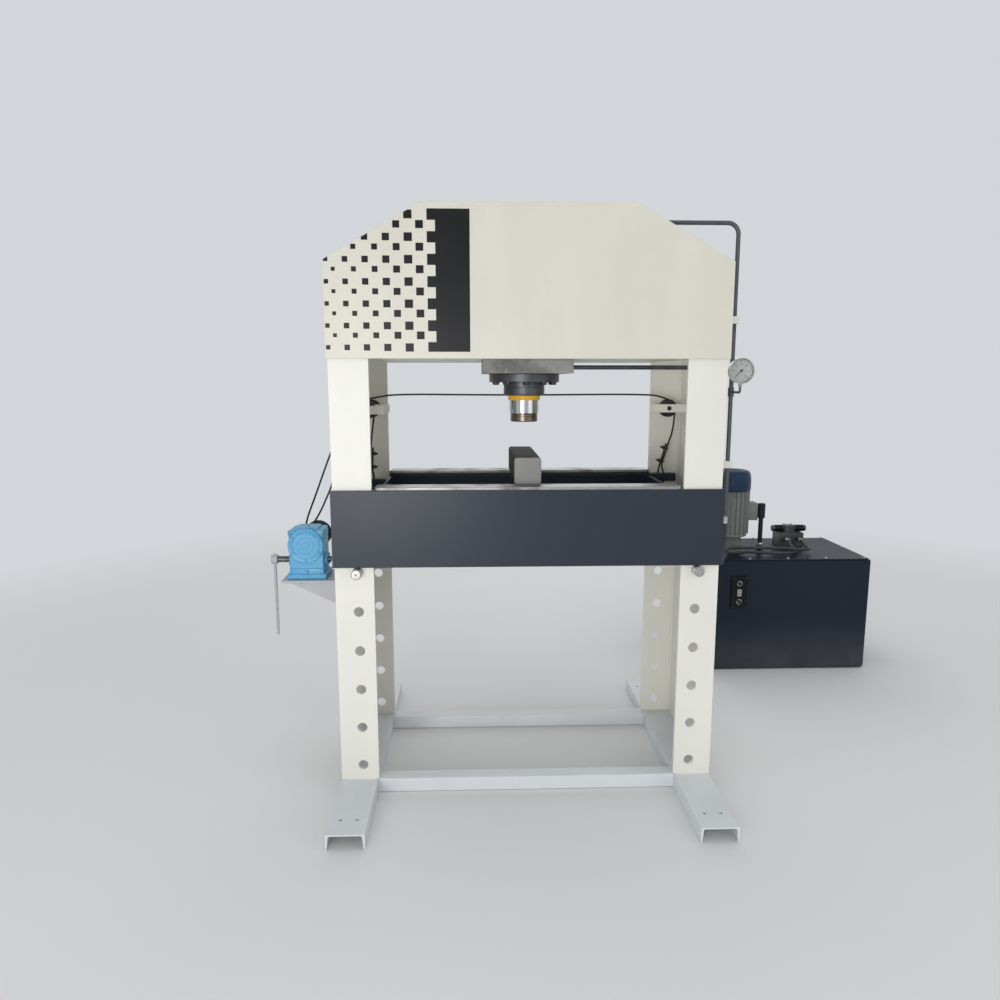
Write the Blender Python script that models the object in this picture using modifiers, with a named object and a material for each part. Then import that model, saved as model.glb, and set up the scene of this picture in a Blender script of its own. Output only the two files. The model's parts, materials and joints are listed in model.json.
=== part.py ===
"""Workshop hydraulic press: welded portal frame, ram unit, pinned bed with rope lift, and power pack.

Units are metres, +Z up, +Y to the back. The origin is the middle of the front sill's underside, so
the press stands on z = 0 and its front flanges lie FRAME_FRONT_Y from the origin.
"""

import math

import bmesh
import bpy
from mathutils import Euler, Matrix, Vector

for leftover in list(bpy.data.objects):
    bpy.data.objects.remove(leftover, do_unlink=True)

# Fits and small edges
SEAT = 0.0003
RUNNING = 0.0003
SIDE_PLAY = 0.0015
EDGE = 0.002

# Uprights
CLEAR_WIDTH = 1.200
FLANGE_WIDTH = 0.150
FLANGE_THICK = 0.016
WEB_THICK = 0.012
UPRIGHT_DEPTH = 0.619
UPRIGHT_TOP = 2.060
HOLE_PITCH = 0.160
HOLE_FIRST = 0.120
HOLE_COUNT = 6
HOLE_RADIUS = 0.020
HOLE_INSET = 0.062
ROPE_SLOT_LOW = (0.290, 1.385)
ROPE_SLOT_HIGH = (0.530, 1.508)

# Feet and sills
FOOT_WIDTH = 0.142
FOOT_HEIGHT = 0.059
FOOT_FRONT = 0.381
FOOT_REAR = 0.365
FOOT_TOP_THICK = 0.006
FOOT_SIDE_ROOT = 0.010
FOOT_SIDE_TIP = 0.005
FOOT_BOLT_RADIUS = 0.007
FOOT_BOLT_INSET = 0.095
FOOT_BOLT_SPREAD = 0.031
SILL_DEPTH = 0.065
SILL_HEIGHT = 0.058
SILL_WALL = 0.004
REAR_SILL_FRONT = 0.565

# Head
HEAD_HALF_WIDTH = 0.755
HEAD_TOP_HALF = 0.395
HEAD_LOW = 1.733
HEAD_SHOULDER = 2.085
HEAD_HIGH = 2.287
HEAD_PLATE_THICK = 0.016
HEAD_RIB_X = 0.200
HEAD_RIB_TOP = 2.240
HEAD_RIB_CHAMFER = 0.060

# Ram unit
BARREL_RADIUS = 0.125
BORE_RADIUS = 0.100
BARREL_TOP = 2.200
BARREL_CAP_THICK = 0.035
BARREL_PLAY = 0.0015
MOUNT_PLATE_WIDTH = 0.350
MOUNT_PLATE_DEPTH = 0.500
MOUNT_PLATE_THICK = 0.052
FLANGE_RADIUS = 0.145
FLANGE_HEIGHT = 0.034
GLAND_RADIUS = 0.085
GLAND_HEIGHT = 0.053
GLAND_SPIGOT = 0.062
WIPER_RADIUS = 0.0665
WIPER_HEIGHT = 0.020
RAM_RADIUS = 0.0615
RAM_BOTTOM = 1.518
PISTON_BELOW_CAP = 0.048
PISTON_HEIGHT = 0.060
NOSE_RADIUS = 0.0565
NOSE_HEIGHT = 0.033
NOSE_SPIGOT = 0.012
NOSE_SPIGOT_RADIUS = 0.030
RAM_FACETS = 32

# Bed
BED_HALF_LENGTH = 0.756
BED_HEIGHT = 0.300
BED_WEB = 0.012
BED_FLANGE_REACH = 0.082
BED_FLANGE_THICK = 0.0125
BED_FLANGE_HALF = 0.592
BED_ROOT_RADIUS = 0.012
BED_END_THICK = 0.012
BED_REST_THICK = 0.012
BED_REST_DEPTH = 0.090
BED_REST_HALF = 0.588
BED_REST_CORNER = 0.012
LUG_SIDE = 0.036
LUG_REACH = 0.113
LUG_TOP_BELOW_BED = 0.001
PIN_RADIUS = 0.0195
PIN_PROUD = 0.045
PRESS_BAR_SIDE = 0.105
PRESS_BAR_ROUND = 0.011
PRESS_BAR_FRONT = 0.055
PRESS_BAR_LENGTH = 0.509

# Rope lift
STRAP_HEIGHT = 0.036
STRAP_THICK = 0.008
STRAP_REACH = 0.151
PULLEY_INSET = 0.061
PULLEY_ABOVE_LUG = 0.2924
SHEAVE_WIDTH = 0.040
SHEAVE_RADIUS = 0.039
GROOVE_RADIUS = 0.029
GROOVE_HALF_WIDTH = 0.012
PULLEY_PIN_RADIUS = 0.0095
PULLEY_PIN_PROUD = 0.004
ROPE_RADIUS = 0.004
DROP_BELOW_PULLEY = 0.031
NEAR_BLOCK_FRONT = 0.330
FAR_BLOCK_FRONT = 0.497

# Winch on the left upright
SHELF_OUT = 0.226
SHELF_THICK = 0.010
SHELF_TOP = 0.868
SHELF_FRONT = 0.070
SHELF_DEPTH = 0.190
BACK_PLATE_THICK = 0.012
BACK_PLATE_DROP = 0.113
GUSSET_THICK = 0.008
GEARBOX_X = -0.880
GEARBOX_FRONT = 0.100
GEARBOX_WIDTH = 0.136
GEARBOX_DEPTH = 0.118
GEARBOX_HEIGHT = 0.198
GEARBOX_FOOT_WIDTH = 0.156
GEARBOX_FOOT_HEIGHT = 0.020
WORM_HEIGHT = 0.068
WORM_TUNNEL_RADIUS = 0.031
WORM_TUNNEL_LENGTH = 0.152
WORM_RADIUS = 0.0125
WHEEL_ABOVE_WORM = 0.068
COVER_RADIUS = 0.0700
COVER_THICK = 0.010
OUTPUT_RADIUS = 0.016
OUTPUT_BLIND = 0.050
DRUM_CORE_RADIUS = 0.033
DRUM_FLANGE_RADIUS = 0.056
DRUM_FLANGE_THICK = 0.006
DRUM_GAP = 0.012
DRUM_LENGTH = 0.130
COIL_FRONT = 0.2665
ROPE_TURNS = 7
CRANK_OUT = 0.073
CRANK_HUB_RADIUS = 0.019
CRANK_HUB_LENGTH = 0.026
CRANK_ROD_RADIUS = 0.006
CRANK_LENGTH = 0.318

# Pipes and gauge
PIPE_RADIUS = 0.009
PIPE_BEND = 0.045
PIPE_RISE = 0.085
PRESSURE_DROP_X = 0.871
RETRACT_DROP_X = 0.800
RETRACT_HEIGHT = 1.707
PIPE_LOW = 1.080
CLAMP_HEIGHTS = (1.900, 1.300)
CLAMP_THICK = 0.006
CLAMP_HEIGHT = 0.030
GAUGE_X = 0.885
GAUGE_HEIGHT = 1.692
GAUGE_RADIUS = 0.050
GAUGE_DEPTH = 0.034
GAUGE_FRONT = 0.225
GAUGE_STEM_HEIGHT = 1.605

# Power pack
PACK_LEFT = 1.100
PACK_WIDTH = 0.950
PACK_FRONT = 1.250
PACK_DEPTH = 0.600
PACK_HEIGHT = 0.650
PACK_FOOT = 0.012
TANK_WALL = 0.004
TANK_LEDGE = 0.030
TANK_ROUND = 0.018
LID_THICK = 0.008
LID_INSET = 0.010
MOTOR_X = 1.312
MOTOR_BACK = 0.250
MOTOR_RADIUS = 0.092
MOTOR_FINS = 22
MOTOR_FIN_HEIGHT = 0.010
BELL_HEIGHT = 0.110
MOTOR_BODY_HEIGHT = 0.255
FAN_COVER_HEIGHT = 0.125
BREATHER_X = 1.480
BREATHER_BACK = 0.215
BREATHER_HEIGHT = 0.290
VALVE_X = 1.720
VALVE_BACK = 0.330
VALVE_SIZE = (0.150, 0.110, 0.085)
PORT_LENGTH = 0.024
HOSE_RADIUS = 0.009
PANEL_X = 1.292
PANEL_HEIGHT = 0.462
PANEL_SIZE = (0.092, 0.186)
PANEL_THICK = 0.010
BUTTON_RADIUS = 0.011
BUTTON_PROUD = 0.009
BUTTON_TRAVEL = 0.004
BUTTON_SPREAD = 0.053

FRAME_FRONT_Y = -SILL_DEPTH / 2


def depth(behind_front):
    """The world Y of a point that lies this far behind the front flanges' front faces."""
    return FRAME_FRONT_Y + behind_front


INNER_X = CLEAR_WIDTH / 2
OUTER_X = INNER_X + FLANGE_WIDTH
WEB_INNER_X = OUTER_X - WEB_THICK
HOLE_X = INNER_X + HOLE_INSET
HOLE_HEIGHTS = [HOLE_FIRST + HOLE_PITCH * row for row in range(HOLE_COUNT)]
REAR_FLANGE_FRONT = UPRIGHT_DEPTH - FLANGE_THICK
RAM_DEPTH = UPRIGHT_DEPTH / 2
PIN_HEIGHT = HOLE_HEIGHTS[-1] - (HOLE_RADIUS - PIN_RADIUS - SEAT)
BED_LOW = PIN_HEIGHT + PIN_RADIUS + SEAT
BED_HIGH = BED_LOW + BED_HEIGHT
REST_TOP = BED_HIGH + SEAT + BED_REST_THICK
LUG_TOP = BED_HIGH - LUG_TOP_BELOW_BED
PULLEY_HEIGHT = LUG_TOP + PULLEY_ABOVE_LUG
DROP_TOP = PULLEY_HEIGHT - DROP_BELOW_PULLEY
PISTON_LOW = BARREL_TOP - BARREL_CAP_THICK - PISTON_BELOW_CAP - PISTON_HEIGHT
PIPE_RUN_HEIGHT = BARREL_TOP + PIPE_RISE
PULLEY_X = INNER_X + PULLEY_INSET
BLOCK_GAP = SHEAVE_WIDTH + 2 * SIDE_PLAY
PLATE_TOP = HEAD_LOW - SEAT
FLANGE_TOP = PLATE_TOP - MOUNT_PLATE_THICK - SEAT
GLAND_TOP = FLANGE_TOP - FLANGE_HEIGHT - SEAT
WORM_Z = SHELF_TOP + SEAT + WORM_HEIGHT
WHEEL_Z = WORM_Z + WHEEL_ABOVE_WORM
GEARBOX_MID = GEARBOX_FRONT + GEARBOX_DEPTH / 2
GEARBOX_REAR = GEARBOX_FRONT + GEARBOX_DEPTH
DRUM_FRONT = GEARBOX_REAR + DRUM_GAP
COIL_RADIUS = DRUM_CORE_RADIUS + SEAT + ROPE_RADIUS


def sheave_depth(block_front):
    """How far behind the front flanges a block's sheave has its middle plane."""
    return block_front + STRAP_THICK + BLOCK_GAP / 2


PULLEY_BLOCKS = (("left_near", -1, NEAR_BLOCK_FRONT), ("left_far", -1, FAR_BLOCK_FRONT),
                 ("right", 1, FAR_BLOCK_FRONT))
parts = bpy.data.collections.new("hydraulic_press")
cutters = bpy.data.collections.new("cutters")
bpy.context.scene.collection.children.link(parts)
bpy.context.scene.collection.children.link(cutters)


def paint(name, colour, roughness, metallic=0.0):
    """A Principled material of one colour."""
    material = bpy.data.materials.new(name)
    material.use_nodes = True
    shader = material.node_tree.nodes["Principled BSDF"]
    shader.inputs["Base Color"].default_value = (*colour, 1.0)
    shader.inputs["Roughness"].default_value = roughness
    shader.inputs["Metallic"].default_value = metallic
    return material


CREAM = paint("cream_enamel", (0.78, 0.75, 0.67), 0.40)
PALE_GREY = paint("pale_grey_enamel", (0.62, 0.65, 0.68), 0.45)
SLATE = paint("slate_enamel", (0.035, 0.043, 0.058), 0.35)
DARK_STEEL = paint("dark_steel", (0.055, 0.058, 0.062), 0.45, 0.6)
BRIGHT_STEEL = paint("bright_steel", (0.55, 0.56, 0.57), 0.30, 1.0)
HARD_CHROME = paint("hard_chrome", (0.80, 0.81, 0.82), 0.08, 1.0)
TURNED_STEEL = paint("turned_steel", (0.30, 0.25, 0.21), 0.35, 1.0)
YELLOW_SEAL = paint("yellow_seal", (0.85, 0.60, 0.05), 0.40)
MILL_STEEL = paint("mill_steel", (0.33, 0.34, 0.35), 0.50, 0.7)
ROPE_STEEL = paint("oiled_rope", (0.04, 0.04, 0.04), 0.55, 0.5)
GEAR_BLUE = paint("gearbox_blue", (0.07, 0.29, 0.52), 0.40)
MOTOR_BLUE = paint("motor_blue", (0.10, 0.20, 0.36), 0.45)
HOSE_RUBBER = paint("hose_rubber", (0.08, 0.08, 0.08), 0.65)
BLACK_PANEL = paint("black_panel", (0.01, 0.01, 0.012), 0.35)
BUTTON_WHITE = paint("button_white", (0.70, 0.70, 0.68), 0.40)


def adopt(name, mesh, material, place=(0, 0, 0), turn=(0, 0, 0), origin=None):
    """Makes an object of a mesh in the parts collection, with its material and shading."""
    mesh.name = name
    if origin is not None:
        mesh.transform(Matrix.Translation(-Vector(origin)))
        place = origin
    made = bpy.data.objects.new(name, mesh)
    made.location = place
    made.rotation_euler = turn
    mesh.materials.clear()
    mesh.materials.append(material)
    parts.objects.link(made)
    mesh.shade_smooth()
    mesh.set_sharp_from_angle(angle=math.radians(35))
    return made


def block_mesh(size, bevel=0.0, segments=2):
    """A box of this size about the origin, with its edges rounded."""
    bm = bmesh.new()
    bmesh.ops.create_cube(bm, size=1.0)
    bmesh.ops.scale(bm, vec=size, verts=bm.verts)
    if bevel > 0:
        bmesh.ops.bevel(bm, geom=bm.edges[:], offset=bevel, segments=segments, affect="EDGES", profile=0.5)
    mesh = bpy.data.meshes.new("block")
    bm.to_mesh(mesh)
    bm.free()
    return mesh


def block(name, low, high, material, bevel=0.0):
    """A box between two corners."""
    low, high = Vector(low), Vector(high)
    return adopt(name, block_mesh(high - low, bevel), material, (low + high) / 2)


def arc(centre, radius, start, end, steps):
    """Points of an arc, angles in degrees, both ends kept."""
    angles = [math.radians(start + (end - start) * step / steps) for step in range(steps + 1)]
    return [(centre[0] + radius * math.cos(a), centre[1] + radius * math.sin(a)) for a in angles]


def circle(centre, radius, steps=20):
    """Points of a full circle."""
    return arc(centre, radius, 0, 360 * (steps - 1) / steps, steps - 1)


def rectangle(low, high, corner=0.0, steps=3):
    """A rectangle's outline, its corners rounded where a radius is given."""
    if corner <= 0:
        return [(low[0], low[1]), (high[0], low[1]), (high[0], high[1]), (low[0], high[1])]
    left, bottom, right, top = low[0] + corner, low[1] + corner, high[0] - corner, high[1] - corner
    corners = (((left, bottom), 180), ((right, bottom), 270), ((right, top), 0), ((left, top), 90))
    return [point for centre, turn in corners for point in arc(centre, corner, turn, turn + 90, steps)]


PLANES = {"XY": (0, 0, 0), "XZ": (math.pi / 2, 0, 0), "YZ": (math.pi / 2, 0, math.pi / 2)}


def plate_mesh(outlines, thickness):
    """A flat outline with its inner outlines as holes, as a closed mesh in the local XY plane."""
    curve = bpy.data.curves.new("outline", "CURVE")
    curve.dimensions = "2D"
    curve.fill_mode = "BOTH"
    curve.extrude = thickness / 2
    for points in outlines:
        spline = curve.splines.new("POLY")
        spline.points.add(len(points) - 1)
        for point, (x, y) in zip(spline.points, points):
            point.co = (x, y, 0, 1)
        spline.use_cyclic_u = True
    return curve_mesh(curve)


def curve_mesh(curve):
    """The closed mesh of a curve, with its loose caps welded on."""
    carrier = bpy.data.objects.new("carrier", curve)
    parts.objects.link(carrier)
    evaluated = carrier.evaluated_get(bpy.context.evaluated_depsgraph_get())
    mesh = bpy.data.meshes.new_from_object(evaluated)
    bpy.data.objects.remove(carrier, do_unlink=True)
    bm = bmesh.new()
    bm.from_mesh(mesh)
    bmesh.ops.remove_doubles(bm, verts=bm.verts, dist=0.00001)
    bmesh.ops.recalc_face_normals(bm, faces=bm.faces)
    bm.to_mesh(mesh)
    bm.free()
    return mesh


def plate(name, outlines, plane, middle, thickness, material):
    """A plate in a world plane, its middle at this coordinate along the plane's normal."""
    normal = {"XY": (0, 0, 1), "XZ": (0, 1, 0), "YZ": (1, 0, 0)}[plane]
    place = Vector(normal) * middle
    return adopt(name, plate_mesh(outlines, thickness), material, place, PLANES[plane])


def turned_mesh(profile, steps=32, closed=False):
    """A turned shape about local Z from (radius, height) points that run down its outer side."""
    bm = bmesh.new()
    verts = [bm.verts.new((radius, 0, height)) for radius, height in profile]
    pairs = list(zip(verts, verts[1:])) + ([(verts[-1], verts[0])] if closed else [])
    for first, second in pairs:
        bm.edges.new((first, second))
    mesh = bpy.data.meshes.new("profile")
    bm.to_mesh(mesh)
    bm.free()
    carrier = bpy.data.objects.new("carrier", mesh)
    parts.objects.link(carrier)
    screw = carrier.modifiers.new("Screw", "SCREW")
    screw.steps = steps
    screw.render_steps = steps
    screw.use_merge_vertices = True
    screw.merge_threshold = 0.0001
    evaluated = carrier.evaluated_get(bpy.context.evaluated_depsgraph_get())
    result = bpy.data.meshes.new_from_object(evaluated)
    bpy.data.objects.remove(carrier, do_unlink=True)
    return result


def turned(name, profile, place, material, along="Z", steps=32, closed=False):
    """A turned piece whose own axis lies along world X, Y or Z."""
    turn = {"Z": (0, 0, 0), "Y": (-math.pi / 2, 0, 0), "X": (0, math.pi / 2, 0)}[along]
    return adopt(name, turned_mesh(profile, steps, closed), material, place, turn)


def rod_profile(radius, low, high, chamfer=0.0):
    """The profile of a plain round rod with chamfered ends."""
    if chamfer <= 0:
        return [(0, high), (radius, high), (radius, low), (0, low)]
    return [(0, high), (radius - chamfer, high), (radius, high - chamfer),
            (radius, low + chamfer), (radius - chamfer, low), (0, low)]


def smooth_route(points, spacing):
    """Points at about this spacing on one smooth curve through the route's own points."""
    route = [Vector(point) for point in points]
    ends = [2 * route[0] - route[1]] + route + [2 * route[-1] - route[-2]]
    result = [route[0]]
    for before, start, end, after in zip(ends, ends[1:], ends[2:], ends[3:]):
        steps = max(1, round((end - start).length / spacing))
        for step in range(1, steps + 1):
            t = step / steps
            result.append(0.5 * (2 * start + (end - before) * t
                                 + (2 * before - 5 * start + 4 * end - after) * t * t
                                 + (3 * start - before - 3 * end + after) * t ** 3))
    return result


def bent_route(corners, bend, steps=6):
    """A tube's centre line with a round bend at each inner corner."""
    corners = [Vector(corner) for corner in corners]
    route = [corners[0]]
    for before, corner, after in zip(corners, corners[1:], corners[2:]):
        inward = (before - corner).normalized()
        outward = (after - corner).normalized()
        reach = bend / math.tan(inward.angle(outward) / 2)
        start, end = corner + inward * reach, corner + outward * reach
        centre = corner + (inward + outward).normalized() * bend / math.sin(inward.angle(outward) / 2)
        turn = (start - centre).angle(end - centre)
        for step in range(steps + 1):
            share = step / steps
            weight_start = math.sin((1 - share) * turn) / math.sin(turn)
            weight_end = math.sin(share * turn) / math.sin(turn)
            route.append(centre + (start - centre) * weight_start + (end - centre) * weight_end)
    return route + [corners[-1]]


def tube_mesh(points, radius, resolution=2, cyclic=False):
    """A round tube along these points, with its ends capped."""
    curve = bpy.data.curves.new("route", "CURVE")
    curve.dimensions = "3D"
    curve.bevel_depth = radius
    curve.bevel_resolution = resolution
    curve.use_fill_caps = not cyclic
    spline = curve.splines.new("POLY")
    spline.points.add(len(points) - 1)
    for point, place in zip(spline.points, points):
        point.co = (*place, 1)
    spline.use_cyclic_u = cyclic
    return curve_mesh(curve)


def tube(name, points, radius, material, resolution=2):
    """A tube node."""
    return adopt(name, tube_mesh(points, radius, resolution), material)


def placed(mesh, place=(0, 0, 0), turn=(0, 0, 0)):
    """The same mesh, moved to its place."""
    mesh.transform(Matrix.Translation(place) @ Euler(turn).to_matrix().to_4x4())
    return mesh


def joined(meshes, operation="UNION", solver="EXACT"):
    """The first mesh with the others joined to it or cut from it, by Booleans."""
    base = bpy.data.objects.new("base", meshes[0])
    parts.objects.link(base)
    tools = []
    for mesh in meshes[1:]:
        tool = bpy.data.objects.new("tool", mesh)
        tool.hide_render = True
        tool.display_type = "WIRE"
        cutters.objects.link(tool)
        tools.append(tool)
        boolean = base.modifiers.new("Boolean", "BOOLEAN")
        boolean.operation = operation
        boolean.solver = solver
        boolean.object = tool
    evaluated = base.evaluated_get(bpy.context.evaluated_depsgraph_get())
    result = bpy.data.meshes.new_from_object(evaluated)
    for used in [base, *tools]:
        bpy.data.objects.remove(used, do_unlink=True)
    return result


def box_mesh(low, high, bevel=0.0, segments=2):
    """A box mesh that already lies between two corners."""
    low, high = Vector(low), Vector(high)
    return placed(block_mesh(high - low, bevel, segments), (low + high) / 2)


def build_upright(side, sign):
    """Two bored flanges and the outer web between them."""
    low = FOOT_HEIGHT + SEAT
    holes = [circle((sign * HOLE_X, height), HOLE_RADIUS) for height in HOLE_HEIGHTS]
    edges = sorted((sign * INNER_X, sign * OUTER_X))
    face = rectangle((edges[0], low), (edges[1], UPRIGHT_TOP))
    for which, start in (("front", 0.0), ("rear", REAR_FLANGE_FRONT)):
        plate(f"{side}_{which}_flange", [face, *holes], "XZ", depth(start + FLANGE_THICK / 2),
              FLANGE_THICK, CREAM)
    web_front, web_rear = depth(FLANGE_THICK + SEAT), depth(REAR_FLANGE_FRONT - SEAT)
    web = [rectangle((web_front, low), (web_rear, UPRIGHT_TOP))]
    if side == "left":
        web.append(rectangle((depth(ROPE_SLOT_LOW[0]), ROPE_SLOT_LOW[1]),
                             (depth(ROPE_SLOT_HIGH[0]), ROPE_SLOT_HIGH[1]), 0.025))
    else:
        web.append(circle((depth(RAM_DEPTH), RETRACT_HEIGHT), PIPE_RADIUS + SIDE_PLAY))
    middle = (sign * (OUTER_X - WEB_THICK / 2), 0, 0)
    pieces = [placed(plate_mesh(web, WEB_THICK), middle, PLANES["YZ"])]
    pieces += [strap for name, way, front in PULLEY_BLOCKS if way == sign for strap in strap_pair(sign,
        front)]
    if side == "right":
        pieces += [clamp_mesh(height) for height in CLAMP_HEIGHTS]
    adopt(f"{side}_web", joined(pieces), CREAM)


def strap_pair(sign, front):
    """The two flat straps of one pulley block, their outer ends let into the web."""
    ends = sorted((sign * (OUTER_X - WEB_THICK / 2), sign * (WEB_INNER_X - STRAP_REACH)))
    half = STRAP_HEIGHT / 2
    face = rectangle((ends[0], PULLEY_HEIGHT - half), (ends[1], PULLEY_HEIGHT + half), 0.002, 1)
    hole = circle((sign * PULLEY_X, PULLEY_HEIGHT), PULLEY_PIN_RADIUS + RUNNING, 20)
    return [placed(plate_mesh([face, hole], STRAP_THICK), (0, depth(start + STRAP_THICK / 2), 0),
        PLANES["XZ"])
            for start in (front, front + STRAP_THICK + BLOCK_GAP)]


def clamp_mesh(height):
    """A bored pipe clamp that stands off the right web."""
    line = depth(RAM_DEPTH)
    low, high = height - CLAMP_HEIGHT / 2, height + CLAMP_HEIGHT / 2
    web_x = OUTER_X - WEB_THICK / 2
    arm = box_mesh((web_x, line - 0.014, low), (PRESSURE_DROP_X + 0.018, line + 0.014, high), 0.002)
    foot = box_mesh((web_x, line - 0.035, low - 0.015), (OUTER_X + CLAMP_THICK, line + 0.035, high + 0.015))
    pipes = [PRESSURE_DROP_X] + ([RETRACT_DROP_X] if height < RETRACT_HEIGHT else [])
    bores = [placed(turned_mesh(rod_profile(PIPE_RADIUS + SEAT, -0.05, 0.05), 16),
        (x, line, height)) for x in pipes]
    return joined([joined([arm, foot]), *bores], "DIFFERENCE")


def foot_section():
    """A downward-open channel section with tapered sides, about X = 0."""
    half = FOOT_WIDTH / 2
    under = FOOT_HEIGHT - FOOT_TOP_THICK
    root = half - FOOT_SIDE_ROOT
    tip = half - FOOT_SIDE_TIP
    fillet = 0.006
    left = arc((-root + fillet, under - fillet), fillet, 180, 90, 3)
    right = arc((root - fillet, under - fillet), fillet, 90, 0, 3)
    return [(-half, 0), (-tip, 0), *left, *right, (tip, 0), (half, 0), (half, FOOT_HEIGHT),
        (-half, FOOT_HEIGHT)]


def build_floor_frame():
    """Two channel feet and the two box sills between them."""
    length = UPRIGHT_DEPTH + FOOT_FRONT + FOOT_REAR
    middle = depth((UPRIGHT_DEPTH + FOOT_REAR - FOOT_FRONT) / 2)
    foot_x = (INNER_X + OUTER_X) / 2
    for side, sign in (("left", -1), ("right", 1)):
        channel = placed(plate_mesh([foot_section()], length), (sign * foot_x, middle, 0), PLANES["XZ"])
        holes = []
        for end in (-1, 1):
            for across in (-1, 1):
                place = (sign * foot_x + across * FOOT_BOLT_SPREAD,
                         middle + end * (length / 2 - FOOT_BOLT_INSET), FOOT_HEIGHT)
                holes.append(placed(turned_mesh(rod_profile(FOOT_BOLT_RADIUS, -0.02, 0.02), 16), place))
        adopt(f"{side}_foot", joined([channel, *holes], "DIFFERENCE"), PALE_GREY)
    span = 2 * (foot_x - FOOT_WIDTH / 2 - SEAT)
    for which, front in (("front", 0.0), ("rear", REAR_SILL_FRONT)):
        outer = rectangle((depth(front), 0), (depth(front + SILL_DEPTH), SILL_HEIGHT), 0.005)
        inner = rectangle((depth(front) + SILL_WALL, SILL_WALL),
                          (depth(front + SILL_DEPTH) - SILL_WALL, SILL_HEIGHT - SILL_WALL), 0.002)
        plate(f"{which}_sill", [outer, inner], "YZ", 0, span, PALE_GREY)


def build_head():
    """Front and rear plates with cut shoulders, and the bottom plate with its two ribs beside the barrel."""
    face = [(-HEAD_HALF_WIDTH, HEAD_LOW), (HEAD_HALF_WIDTH, HEAD_LOW), (HEAD_HALF_WIDTH, HEAD_SHOULDER),
            (HEAD_TOP_HALF, HEAD_HIGH), (-HEAD_TOP_HALF, HEAD_HIGH), (-HEAD_HALF_WIDTH, HEAD_SHOULDER)]
    half = HEAD_PLATE_THICK / 2
    plate("head_front_plate", [face], "XZ", depth(-SEAT - half), HEAD_PLATE_THICK, CREAM)
    plate("head_rear_plate", [face], "XZ", depth(UPRIGHT_DEPTH + SEAT + half), HEAD_PLATE_THICK, CREAM)
    floor = rectangle((-INNER_X + SEAT, depth(SEAT)), (INNER_X - SEAT, depth(UPRIGHT_DEPTH - SEAT)))
    hole = circle((0, depth(RAM_DEPTH)), BARREL_RADIUS + BARREL_PLAY, RAM_FACETS)
    low = HEAD_LOW + HEAD_PLATE_THICK / 2
    front, rear = depth(SEAT), depth(UPRIGHT_DEPTH - SEAT)
    rib = [(front, low), (rear, low), (rear, HEAD_RIB_TOP - HEAD_RIB_CHAMFER),
           (rear - HEAD_RIB_CHAMFER, HEAD_RIB_TOP), (front + HEAD_RIB_CHAMFER, HEAD_RIB_TOP),
           (front, HEAD_RIB_TOP - HEAD_RIB_CHAMFER)]
    pieces = [placed(plate_mesh([floor, hole], HEAD_PLATE_THICK), (0, 0, HEAD_LOW + half))]
    pieces += [placed(plate_mesh([rib], HEAD_PLATE_THICK), (sign * HEAD_RIB_X, 0, 0), PLANES["YZ"])
               for sign in (-1, 1)]
    adopt("head_bottom_plate", joined(pieces), CREAM)


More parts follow.
